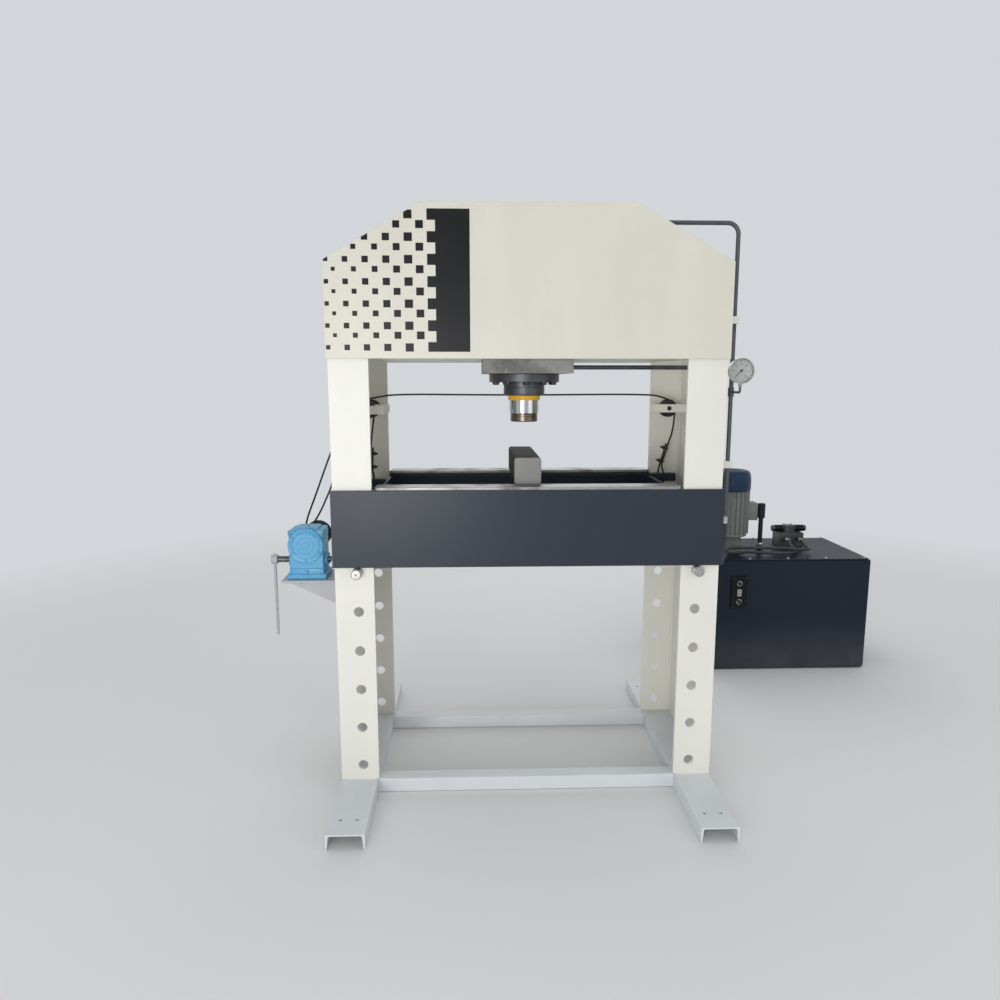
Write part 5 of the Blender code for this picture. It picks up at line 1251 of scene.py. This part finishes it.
@dataclass
class RopeLift:
    """The three pulley blocks, the two wire ropes, their drops and their looped, clipped ends."""
    rope_radius: float = 0.004
    rope_step: float = 0.0032
    strands: int = 6
    near: float = 0.3595
    far: float = 0.5265
    drop_top: float = 1.500
    pulley_x: float = 0.661
    pulley_z: float = 1.531
    lug_depth: float = 0.018
    lug_low: float = 1.2026
    loop_shoulder: float = 1.2326
    rope_gap: float = 0.0025
    splay: float = 0.004
    under_splay: float = 0.003
    tuck: float = 0.010
    tail: float = 0.094
    loop_top: dict = field(default_factory=lambda: {"left": (-0.6475, 1.3757), "right": (0.6710, 1.3797)})
    loop_neck: dict = field(default_factory=lambda: {"left": (-0.6520, 1.2790), "right": (0.6430, 1.2790)})

    def build(self) -> None:
        """Makes the sheaves and pins, then the ropes."""
        groove = self.rope_radius + 0.0004
        floor = [(0.029 + groove - groove * math.cos(a), -groove * math.sin(a))
                 for a in np.radians(np.linspace(-62, 62, 9))]
        half = [(0.0098, 0.020), (0.015, 0.020), (0.016, 0.019), (0.016, 0.0165), (0.037, 0.0155),
                (0.039, 0.0145), (0.039, 0.009)]
        wheel = [*half, *floor, *((radius, -along) for radius, along in half[::-1])]
        pin = eased_rod(0.0095, -0.0335, 0.0335, 0.001)
        for name, sign, back in (("left_near", -1, self.near), ("left_far", -1, self.far),
                                 ("right", 1, self.far)):
            middle = (sign * self.pulley_x, depth(back), self.pulley_z)
            stand_in(f"{name}_sheave", [lathe(wheel, middle, Axis.Y, 64, loop=True)], ROPE)
            stand_in(f"{name}_pulley_pin", [lathe(pin, middle, Axis.Y, 40)], BOLT)
        self.build_ropes()

    def route(self, points: list) -> np.ndarray:
        """The rope's centre line through points of (x, distance behind the front, z)."""
        return smooth_path([(x, depth(back), z) for x, back, z in points], self.rope_step)

    def rope(self, path: np.ndarray) -> Shape:
        """The stranded rope along a centre line."""
        return sweep(path, self.rope_radius, 24, self.strands)

    def build_ropes(self) -> None:
        """Stranded ropes: the runs over the sheaves, the hanging drops, and the loops round the lugs."""
        near, far, top = self.near, self.far, self.drop_top
        runs = {
            "left_rope": [
                (-0.9180, 0.262, 1.0096), (-0.9145, 0.262, 1.0400), (-0.9040, 0.262, 1.0900),
                (-0.8640, 0.268, 1.1950), (-0.8130, 0.276, 1.3306), (-0.7750, 0.305, 1.4270),
                (-0.7440, 0.342, 1.4840), (-0.7300, 0.355, 1.5040), (-0.7170, near, 1.5220),
                (-0.6960, near, 1.5480), (-0.6780, near, 1.5640), (-0.6600, near, 1.5675),
                (-0.6430, near, 1.5620), (-0.6300, near, 1.5480), (-0.6255, near, 1.5310),
                (-0.6290, near, 1.5140), (-0.6320, near, 1.5050), (-0.6320, near, top)],
            "cross_rope": [
                (-0.9122, 0.327, 1.0260), (-0.8925, 0.327, 1.0560), (-0.8660, 0.324, 1.0990),
                (-0.8430, 0.322, 1.1450), (-0.8140, 0.328, 1.2137), (-0.7900, 0.378, 1.3150),
                (-0.7660, 0.440, 1.4050), (-0.7450, 0.492, 1.4620), (-0.7290, 0.517, 1.4940),
                (-0.7150, far, 1.5200), (-0.6970, far, 1.5490), (-0.6720, far, 1.5710),
                (-0.6430, far, 1.5790), (-0.5720, far, 1.5895), (-0.4500, far, 1.5925),
                (-0.3000, far, 1.5915), (-0.1500, far, 1.5905), (0.0000, far, 1.5900),
                (0.1500, far, 1.5905), (0.3000, far, 1.5915), (0.4500, far, 1.5920), (0.5800, far, 1.5892),
                (0.6250, far, 1.5820), (0.6560, far, 1.5710), (0.6810, far, 1.5600), (0.6950, far, 1.5450),
                (0.6985, far, 1.5280), (0.6950, far, 1.5130), (0.6925, far, 1.5050), (0.6925, far, top)]}
        for name, points in runs.items():
            stand_in(name, [self.rope(self.route(points))], ROPE, 70)
        drops = {
            "left_rope_drop": [(-0.6320, near, top - 0.0003), (-0.6320, near, 1.4950),
                               (-0.6370, near, 1.4650), (-0.6430, near, 1.4200), (-0.6475, near, 1.3760)],
            "right_rope_drop": [(0.6925, far, top - 0.0003), (0.6925, far, 1.4950), (0.6895, far, 1.4560),
                                (0.6820, far, 1.4130), (0.6710, far, 1.3800)]}
        for name, points in drops.items():
            path = self.route(points)
            drop = piece(f"dressed_{name}", [self.rope(path)], ROPE, "", (name,), cut_angle=70)
            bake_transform(drop)
        for side, sign, back in (("left", -1, near), ("right", 1, far)):
            self.build_loop(side, sign, back)

    def build_loop(self, side: str, sign: int, back: float) -> None:
        """One rope end: down to its lug, round it from front to back, up again as a tail, and two clips.

        Args:
            side: left or right.
            sign: -1 or 1.
            back: the rope's depth.
        """
        middle = depth(back)
        top, neck = Vector(self.loop_top[side]), Vector(self.loop_neck[side])
        run = (neck - top).normalized()
        gap = 2 * self.rope_radius + 0.0008
        aside = Vector((run.y, -run.x)) * gap
        if aside.x * sign > 0:
            aside = -aside
        reach = self.lug_depth + self.rope_radius + self.rope_gap
        low = self.lug_low - self.rope_radius - self.rope_gap + self.tuck
        tail_low = neck + aside
        tail_high = tail_low - run * self.tail
        down = [(top.x, middle, top.y), ((top.x + neck.x) / 2, middle, (top.y + neck.y) / 2),
                (neck.x, middle, neck.y), (neck.x + sign * self.splay, middle - reach, self.loop_shoulder),
                (neck.x + sign * self.splay, middle - reach, low)]
        up = [(tail_low.x - sign * self.splay, middle + reach, low),
              (tail_low.x - sign * self.splay, middle + reach, self.loop_shoulder),
              (tail_low.x, middle, tail_low.y),
              ((tail_high.x + tail_low.x) / 2, middle, (tail_high.y + tail_low.y) / 2),
              (tail_high.x, middle, tail_high.y)]
        under = [(neck.x + sign * self.under_splay, middle - reach + self.tuck, low - self.tuck),
                 (tail_low.x - sign * self.under_splay, middle + reach - self.tuck, low - self.tuck)]
        stand_in(f"{side}_rope_loop", [self.rope(smooth_path(down + under + up, self.rope_step))], ROPE, 70)
        tilt = math.degrees(math.atan2(top.x - neck.x, top.y - neck.y))
        clips = []
        for share in (0.30, 0.88):
            place = top.lerp(neck, share) + aside
            for part in self.clip(gap):
                turned = part.tilted("Z", 180) if sign > 0 else part
                clips.append(turned.tilted("Y", tilt).moved(place.x, middle, place.y))
        piece(f"{side}_rope_clips", clips, BOLT, "bed", cut_angle=30)

    def clip(self, gap: float) -> list[Shape]:
        """One clip on a tail strand along Z: saddle and two nuts on +X, and a U bolt round both strands.

        Args:
            gap: the distance between the two strands' middles.

        Returns:
            The clip's surfaces.
        """
        wire = 0.0025
        reach = self.rope_radius - 0.0004 + wire
        angles = np.radians(np.linspace(90, 270, 15))
        bow = np.stack([-gap + reach * np.cos(angles), reach * np.sin(angles), np.zeros_like(angles)], axis=1)
        u_bolt = sweep(even_path(np.vstack([(0.022, reach, 0), bow, (0.022, -reach, 0)]), 0.0016), wire, 12)
        saddle = block((0.0032, -0.014, -0.007), (0.0122, 0.014, 0.007))
        nut = [(0, 0), (0.0055, 0), (0.0055, 0.0048), (0.0046, 0.006), (0, 0.006)]
        return [u_bolt, saddle, *(lathe(nut, (0.0117, y, 0), Axis.X, 6) for y in (-reach, reach))]


@dataclass
class Winch:
    """The bracket on the left upright, the worm gearbox with its crank, and the drum with its rope."""
    gear_x: float = -0.880
    front: float = 0.100
    rear: float = 0.218
    base: float = 0.8683
    worm_z: float = 0.9363
    wheel_z: float = 1.0043
    turns: float = 6.98
    coil_radius: float = 0.0375
    coil_backs: tuple[float, float] = (0.2705, 0.3185)
    cover_circle: float = 0.0605
    bearing_x: float = 0.076
    bearing_circle: float = 0.0245

    def build(self) -> None:
        """Dresses the bracket and housing, and makes the turned pieces and bolts."""
        # The bracket takes the darkened grey, a painted shade.
        eased("winch_bracket", SHADED_WINCH_GREY, 0.0012)
        eased("gearbox_housing", GEAR_BLUE, 0.0012, 30)
        self.build_cover()
        self.build_pads()
        middle = depth((self.front + self.rear) / 2)
        shaft = eased_rod(0.0125, -0.149, 0.088, 0.0015)
        stand_in("worm_shaft", [lathe(shaft, (self.gear_x, middle, self.worm_z), Axis.X, 40)], SHAFT_STEEL)
        self.build_crank(middle)
        self.build_drum()

    def build_cover(self) -> None:
        """The round cover, with its rim, rings and boss, and the bolts and plug round the housing."""
        place = (self.gear_x, depth(self.front) - 0.0003, self.wheel_z)
        rim = [(0, -0.0085), (0.014, -0.0085), (0.016, -0.0070), (0.030, -0.0070), (0.031, -0.0080),
               (0.033, -0.0080), (0.034, -0.0070), (0.050, -0.0070), (0.051, -0.0080), (0.053, -0.0082),
               (0.056, -0.0098), (0.067, -0.0100), (0.0700, -0.0080), (0.0700, 0), (0, 0)]
        stand_in("gearbox_cover", [lathe(rim, place, Axis.Y, 96)], GEAR_BLUE)
        centre = (place[0], place[1] - 0.0098, place[2])
        bolts = bolt_ring(centre, Axis.Y, -1, 0.0062, self.cover_circle, 6, 0, washer=False)
        for x in (-0.064, 0.064):
            spot = (self.gear_x + x, depth(self.front) - 0.0005, self.base + 0.0215)
            bolts += hex_bolt(spot, Axis.Z, 1, 0.0070)
        plug = [(0, 0.0006), (0.010, 0.0006), (0.010, -0.003), (0.0085, -0.004), (0.006, -0.004),
                (0.006, -0.0095), (0, -0.010)]
        bolts.append(lathe(plug, (self.gear_x, depth(self.front) - 0.0045, self.base + 0.029), Axis.Y, 24))
        for way in (-1, 1):
            centre = (self.gear_x + way * self.bearing_x, depth((self.front + self.rear) / 2), self.worm_z)
            bolts += bolt_ring(centre, Axis.X, way, 0.0048, self.bearing_circle, 4, 45, washer=False)
        piece("gearbox_bolts", bolts, GEAR_BLUE, cut_angle=25)

    def build_pads(self) -> None:
        """The casting's raised pads: a low one along the foot, and one with a bolt at each top corner."""
        near, top = depth(self.front), self.base + 0.197
        pads = [block((self.gear_x - 0.067, near - 0.0045, self.base + 0.016),
                      (self.gear_x + 0.067, near + 0.001, self.base + 0.042))]
        for way in (-1, 1):
            inner, outer = sorted((self.gear_x + way * 0.044, self.gear_x + way * 0.0685))
            pads.append(block((inner, near - 0.0050, top - 0.016), (outer, near + 0.001, top)))
            spot = (self.gear_x + way * 0.0565, near - 0.0050, top - 0.008)
            pads += hex_bolt(spot, Axis.Y, -1, 0.0052, washer=False)
        piece("gearbox_pads", pads, GEAR_BLUE, ease=0.0008)

    def build_crank(self, middle: float) -> None:
        """The crank's hub with its set screw, and the rod with a rounded end.

        Args:
            middle: the worm shaft's Y.
        """
        hub = [(0.0128, -0.013), (0.0175, -0.013), (0.019, -0.0115), (0.019, 0.0115), (0.0175, 0.013),
               (0.0128, 0.013)]
        place = (self.gear_x - 0.140, middle, self.worm_z)
        rod = [(0, -0.318), (0.0030, -0.3176), (0.0052, -0.3160), (0.006, -0.3130), (0.006, -0.0170),
               (0, -0.0155)]
        screw = [(0, 0.0185), (0.0045, 0.0185), (0.0045, 0.0235), (0.0038, 0.0245), (0, 0.0245)]
        shapes = [lathe(hub, place, Axis.X, 48, loop=True), lathe(rod, place, Axis.Z, 24),
                  lathe(screw, place, Axis.Z, 6)]
        # The crank takes the darkened grey too, a painted shade.
        stand_in("crank_arm", shapes, SHADED_WINCH_GREY)

    def build_drum(self) -> None:
        """The flanged drum, and seven turns of rope wound as a helix: angle grows as depth does."""
        origin = (self.gear_x, depth(self.rear), self.wheel_z)
        shaft, core, rim = 0.016, 0.033, 0.056
        outer, inner = ([(rim - 0.002, middle + 0.003), (rim, middle + 0.001), (rim, middle - 0.001),
                         (rim - 0.002, middle - 0.003)] for middle in (0.139, 0.015))
        drum = [(0, 0.152), (shaft - 0.0015, 0.152), (shaft, 0.1505), (shaft, 0.142), *outer, (core, 0.136),
                (core, 0.018), *inner, (shaft, 0.012), (shaft, -0.0497), (0, -0.0497)]
        stand_in("rope_drum", [lathe(drum, origin, Axis.Y, 64)], DARK_STEEL)
        turns = np.linspace(0, 2 * np.pi * self.turns, 560)
        coil = np.stack([self.gear_x + self.coil_radius * np.cos(turns),
                         np.linspace(*map(depth, self.coil_backs), len(turns)),
                         self.wheel_z + self.coil_radius * np.sin(turns)], axis=1)
        stand_in("drum_rope_turns", [sweep(even_path(coil, 0.0032), 0.0039, 18, 6)], ROPE, 70)


@dataclass
class Pipes:
    """The two steel pipes on the right upright, and the pressure gauge."""
    line: float = depth(0.3095)
    radius: float = 0.009
    pressure_x: float = 0.871
    retract_x: float = 0.800
    port_z: float = 2.2253
    top_z: float = 2.285
    retract_z: float = 1.707
    retract_nut: tuple[float, float] = (0.1753, 0.2013)
    tee_z: float = 1.605
    end_z: float = 1.080
    gauge: tuple[float, float] = (0.885, 1.692)
    gauge_front: float = depth(0.225)
    gauge_zero: float = -135
    gauge_swing: float = 270
    ticks: int = 31
    figures: int = 7
    figure_circle: float = 0.0275
    stem_back: float = 0.017

    def hexes(self, place: tuple, axis: Axis, low: float, high: float, size: float) -> Shape:
        """A hexagon nut from low to high along an axis, chamfered."""
        nut = [(0, low), (size * 0.86, low), (size, low + 0.002), (size, high - 0.002), (size * 0.86, high),
               (0, high)]
        return lathe(nut, place, axis, 6)

    def build(self) -> None:
        """Makes the pipes with their nuts, then the gauge."""
        y = self.line
        end_nuts = [self.hexes((x, y, 0), Axis.Z, 1.076, 1.106, 0.0135)
                    for x in (self.pressure_x, self.retract_x)]
        pressure = bent_path([(0, y, self.port_z), (0, y, self.top_z), (self.pressure_x, y, self.top_z),
                              (self.pressure_x, y, self.end_z)], 0.045)
        x, stem_y = self.gauge[0], self.gauge_front + self.stem_back
        stem = bent_path([(self.pressure_x, y, self.tee_z), (x, stem_y, self.tee_z),
                          (x, stem_y, self.tee_z + 0.025)], 0.008, 0.003)
        shapes = [sweep(pressure, self.radius, 24), sweep(stem, 0.005, 16),
                  self.hexes((0, y, 0), Axis.Z, self.port_z, 2.2450, 0.0135),
                  self.hexes((self.pressure_x, y, self.tee_z), Axis.Z, -0.020, 0.020, 0.013), end_nuts[0]]
        stand_in("pressure_pipe", shapes, DARK_STEEL, 30)
        retract = bent_path([(self.retract_nut[0], y, self.retract_z), (self.retract_x, y, self.retract_z),
                             (self.retract_x, y, self.end_z)], 0.035)
        port_nut = self.hexes((0, y, self.retract_z), Axis.X, *self.retract_nut, 0.015)
        stand_in("retract_pipe", [sweep(retract, self.radius, 24), port_nut, end_nuts[1]], DARK_STEEL, 30)
        self.build_gauge()

    def build_gauge(self) -> None:
        """Case and bezel, a white dial with ticks and figures, the needle, and the glass."""
        x, z = self.gauge
        y = self.gauge_front
        case = [(0, 0.034), (0.046, 0.034), (0.050, 0.030), (0.050, 0.006), (0.0515, 0.0055),
                (0.052, 0.0045), (0.052, 0.001), (0.0505, 0), (0.0485, 0.0005), (0.047, 0.003),
                (0.047, 0.018), (0.004, 0.018), (0.002, 0.024), (0, 0.024)]
        socket = self.hexes((x, y + self.stem_back, z), Axis.Z, -0.0615, -0.046, 0.009)
        stand_in("gauge_case", [lathe(case, (x, y, z), Axis.Y, 72), socket], ZINC)
        dial = [(0, 0.0182), (0.0468, 0.0182), (0.0468, 0.0165), (0, 0.0165)]
        piece("gauge_dial", [lathe(dial, (x, y, z), Axis.Y, 72)], WHITE)
        marks = []
        for tick in range(self.ticks):
            inner, half = (0.0345, 0.0007) if tick % 5 == 0 else (0.0385, 0.0003)
            bar = block((-half, y + 0.0160, inner), (half, y + 0.0168, 0.0430))
            turn = self.gauge_zero + self.gauge_swing / (self.ticks - 1) * tick
            marks.append(bar.tilted("Y", turn).moved(x, 0, z))
        for step in range(self.figures):
            angle = math.radians(self.gauge_zero + self.gauge_swing / (self.figures - 1) * step)
            across, up = self.figure_circle * math.sin(angle), self.figure_circle * math.cos(angle)
            marks.append(letters(str(step * 10), 0.0078, x + across, y + 0.0163, z + up))
        piece("gauge_marks", marks, PANEL)
        blade = prism([(-0.010, -0.0016), (-0.010, 0.0016), (0.030, 0.0008), (0.036, 0.0), (0.030, -0.0008)],
                      0.0083, 0.0095, Axis.Y)
        hub = lathe(eased_rod(0.0045, 0.0075, 0.0100, 0.0006), (0, 0, 0), Axis.Y, 32)
        needle = [part.tilted("Y", self.gauge_zero).moved(x, y, z) for part in (blade, hub)]
        stand_in("gauge_needle", needle, PANEL)
        glass = [(0, 0.0020), (0.025, 0.0024), (0.0469, 0.0034), (0.0469, 0.0050), (0.025, 0.0040),
                 (0, 0.0036)]
        piece("gauge_glass", [lathe(glass, (x, y, z), Axis.Y, 64)], CLEAR)


@dataclass
class PowerPack:
    """The oil tank with its lid, the pump motor, the valve block and the push-button panel."""
    left: float = 1.100
    right: float = 2.050
    near: float = depth(1.250)
    far: float = depth(1.850)
    lid_top: float = 0.650
    motor: tuple[float, float] = (1.312, depth(1.500))
    fins: int = 22
    fin_tip: float = 0.102
    breather: tuple[float, float] = (1.480, depth(1.465))
    valve: tuple[float, float, float] = (1.720, depth(1.580) + 0.055, 0.7568)
    panel: tuple[float, float] = (1.292, 0.462)
    panel_out: float = 0.0103
    words: float = 0.0095

    def build(self) -> None:
        """Builds the tank and lid, then what stands on them."""
        eased("oil_tank", PACK_BLUE, 0.0016, 40)
        self.build_lid()
        self.build_motor()
        self.build_valve()
        self.build_panel()

    def build_lid(self) -> None:
        """The lid's plate with its bolts, and a bright fitting on the breather post; the post and its ribbed
        cap are not made here.
        """
        eased("tank_lid", PACK_BLUE, 0.0012, 30)
        bolts = []
        for x in np.linspace(self.left + 0.035, self.right - 0.035, 5):
            for y in (self.near + 0.026, self.far - 0.026):
                bolts += hex_bolt((float(x), y, self.lid_top), Axis.Z, 1, 0.0075)
        for x in (self.left + 0.026, self.right - 0.026):
            bolts += hex_bolt((x, (self.near + self.far) / 2, self.lid_top), Axis.Z, 1, 0.0075)
        piece("lid_bolts", bolts, ZINC, cut_angle=25)
        collar = [(0.0131, 0.030), (0.019, 0.030), (0.0195, 0.031), (0.0195, 0.054), (0.019, 0.055),
                  (0.0131, 0.055)]
        piece("breather_fitting", [lathe(collar, (*self.breather, self.lid_top), Axis.Z, 6, loop=True)], ZINC)

    def build_motor(self) -> None:
        """Foot bell, ribbed body, fan cover with a slotted top, and the terminal box with its lid; its gland
        is not made here.
        """
        x, y = self.motor
        base = self.lid_top + 0.0003
        bell = [(0, 0), (0.086, 0), (0.088, 0.002), (0.088, 0.010), (0.084, 0.014), (0.064, 0.020),
                (0.062, 0.024), (0.062, 0.080), (0.066, 0.088), (0.090, 0.096), (0.092, 0.098),
                (0.092, 0.1095), (0, 0.1095)]
        piece("motor_bell", [lathe(bell, (x, y, base), Axis.Z, 72)], MOTOR_GREY, "frame", ("pump_motor",))
        bolts = bolt_ring((x, y, base + 0.0140), Axis.Z, 1, 0.0070, 0.076, 4, 45)
        piece("motor_bolts", bolts, ZINC, cut_angle=25)
        angle = np.linspace(0, 2 * np.pi, self.fins * 16, endpoint=False)
        phase = (angle * self.fins / (2 * np.pi)) % 1
        fin = self.fin_tip - 0.010 + 0.010 * np.clip(1.6 - np.abs(phase - 0.5) / 0.11, 0, 1)
        low, high = base + 0.109, base + 0.364
        levels = np.array([(low, 0.9), (low + 0.001, 0.9), (low + 0.004, 1.0), (high - 0.004, 1.0),
                           (high, 1.0)])
        level, share = levels.T[:, :, None]
        reach = np.minimum(fin, self.fin_tip * share)
        rings = np.stack([x + reach * np.cos(angle), y + reach * np.sin(angle),
                          np.broadcast_to(level, reach.shape)], axis=-1)
        piece("motor_body", [skin(rings)], MOTOR_GREY)
        cover = [(0, 0.117), (0.012, 0.1168), (0.014, 0.112), (0.020, 0.112), (0.022, 0.1166),
                 (0.030, 0.1160), (0.032, 0.112), (0.038, 0.112), (0.040, 0.1156), (0.048, 0.1150),
                 (0.050, 0.111), (0.056, 0.111), (0.058, 0.1142), (0.080, 0.1125), (0.091, 0.107),
                 (0.098, 0.097), (0.1025, 0.083), (0.105, 0.060), (0.105, 0.0), (0.1035, -0.004),
                 (0.098, -0.004), (0.098, 0.010), (0, 0.010)]
        place = (x, y, base + 0.3640 + 0.008)
        # The cover takes the darkened blue, which is partly painted shade.
        piece("motor_fan_cover", [lathe(cover, place, Axis.Z, 96)], SHADED_FAN_BLUE)
        box = block((x + 0.082, y - 0.045, base + 0.190), (x + 0.142, y + 0.045, base + 0.290))
        lid = block((x + 0.136, y - 0.047, base + 0.188), (x + 0.1435, y + 0.047, base + 0.292))
        piece("motor_terminal_box", [box, lid], MOTOR_GREY, ease=0.003)
        screws = []
        for across, up in product((-0.039, 0.039), (0.196, 0.284)):
            screws += hex_bolt((x + 0.1433, y + across, base + up), Axis.X, 1, 0.0035, washer=False)
        piece("terminal_box_screws", screws, ZINC, cut_angle=25)

    def build_valve(self) -> None:
        """The manifold with its spool valve, two coils with their end nuts, and four socket screws."""
        eased("valve_block", DARK_STEEL, 0.0010, 30)
        x, y, z = self.valve
        coils = [lathe([(0.012, low), (0.0205, low + 0.001), (0.0205, high - 0.001), (0.012, high)],
                       self.valve, Axis.X, 40)
                 for low, high in ((-0.088, -0.036), (0.036, 0.088))]
        piece("valve_coils", coils, PANEL)
        head = [(0, -0.0006), (0.0048, -0.0006), (0.0048, 0.0045), (0.0042, 0.005), (0.0026, 0.005),
                (0.0026, 0.002), (0, 0.002)]
        screws = [lathe(head, (x + across, y + along, z + 0.0205), Axis.Z, 20)
                  for across, along in product((-0.022, 0.022), (-0.017, 0.017))]
        nut = [(0, 0.086), (0.011, 0.086), (0.011, 0.096), (0.009, 0.098), (0, 0.098)]
        screws += [lathe([(radius, along * way) for radius, along in nut], self.valve, Axis.X, 6)
                   for way in (-1, 1)]
        piece("valve_screws", screws, ZINC, cut_angle=25)

    def build_panel(self) -> None:
        """The push-button plate: screws, ringed buttons with dished caps, and the legend between them."""
        eased("control_panel", PANEL, 0.0010, 30)
        x, z = self.panel
        face = self.near - self.panel_out
        cap = [(0, -0.0078), (0.005, -0.0080), (0.0088, -0.0088), (0.0100, -0.0090), (0.0110, -0.0080),
               (0.0110, 0.0030), (0, 0.0030)]
        ring = [(0.0114, 0.0005), (0.0150, 0.0005), (0.0150, -0.0015), (0.0142, -0.0022), (0.0120, -0.0022),
                (0.0114, -0.0015)]
        for name, way in (("up_button", 1), ("down_button", -1)):
            place = (x, face, z + way * 0.053)
            stand_in(name, [lathe(cap, place, Axis.Y, 40)], BUTTON_BLACK)
            piece(f"{name}_ring", [lathe(ring, place, Axis.Y, 40, loop=True)], CHROME)
        legend_front = face - 0.0036
        legend = block((x - 0.0122, legend_front, z - 0.020), (x + 0.0122, face - 0.0002, z + 0.020))
        piece("panel_legend", [legend], LEGEND, ease=0.0008)
        words = [letters(word, self.words, x, legend_front - 0.00005, z + way * self.words)
                 for word, way in (("ON", 1), ("OFF", -1))]
        piece("panel_words", words, PANEL)
        screw = [(0, 0.0004), (0.0035, 0.0004), (0.0030, -0.0012), (0, -0.0016)]
        screws = [lathe(screw, (x + across, face, z + up), Axis.Y, 20)
                  for across, up in product((-0.038, 0.038), (-0.085, 0.085))]
        piece("panel_screws", screws, BOLT)


def dress_plain_nodes() -> None:
    """Gives dark steel to any CAD node that still shows, and reports it."""
    for name, node in frame["nodes"].items():
        if not node.hide_render:
            node.data.materials.clear()
            node.data.materials.append(DARK_STEEL.material())
            LOG.info("%s keeps its CAD shape", name)


def main() -> None:
    """Builds the scene in order."""
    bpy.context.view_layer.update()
    for part in (Studio(), Hoses(), Uprights(), Head(), RamUnit(), Bed(), RopeLift(), Winch(), Pipes(),
                 PowerPack()):
        part.build()
        LOG.info("%s built", type(part).__name__)
    dress_plain_nodes()
    bpy.context.view_layer.update()


if __name__ == "__main__":
    logging.basicConfig(level=logging.INFO)
    main()
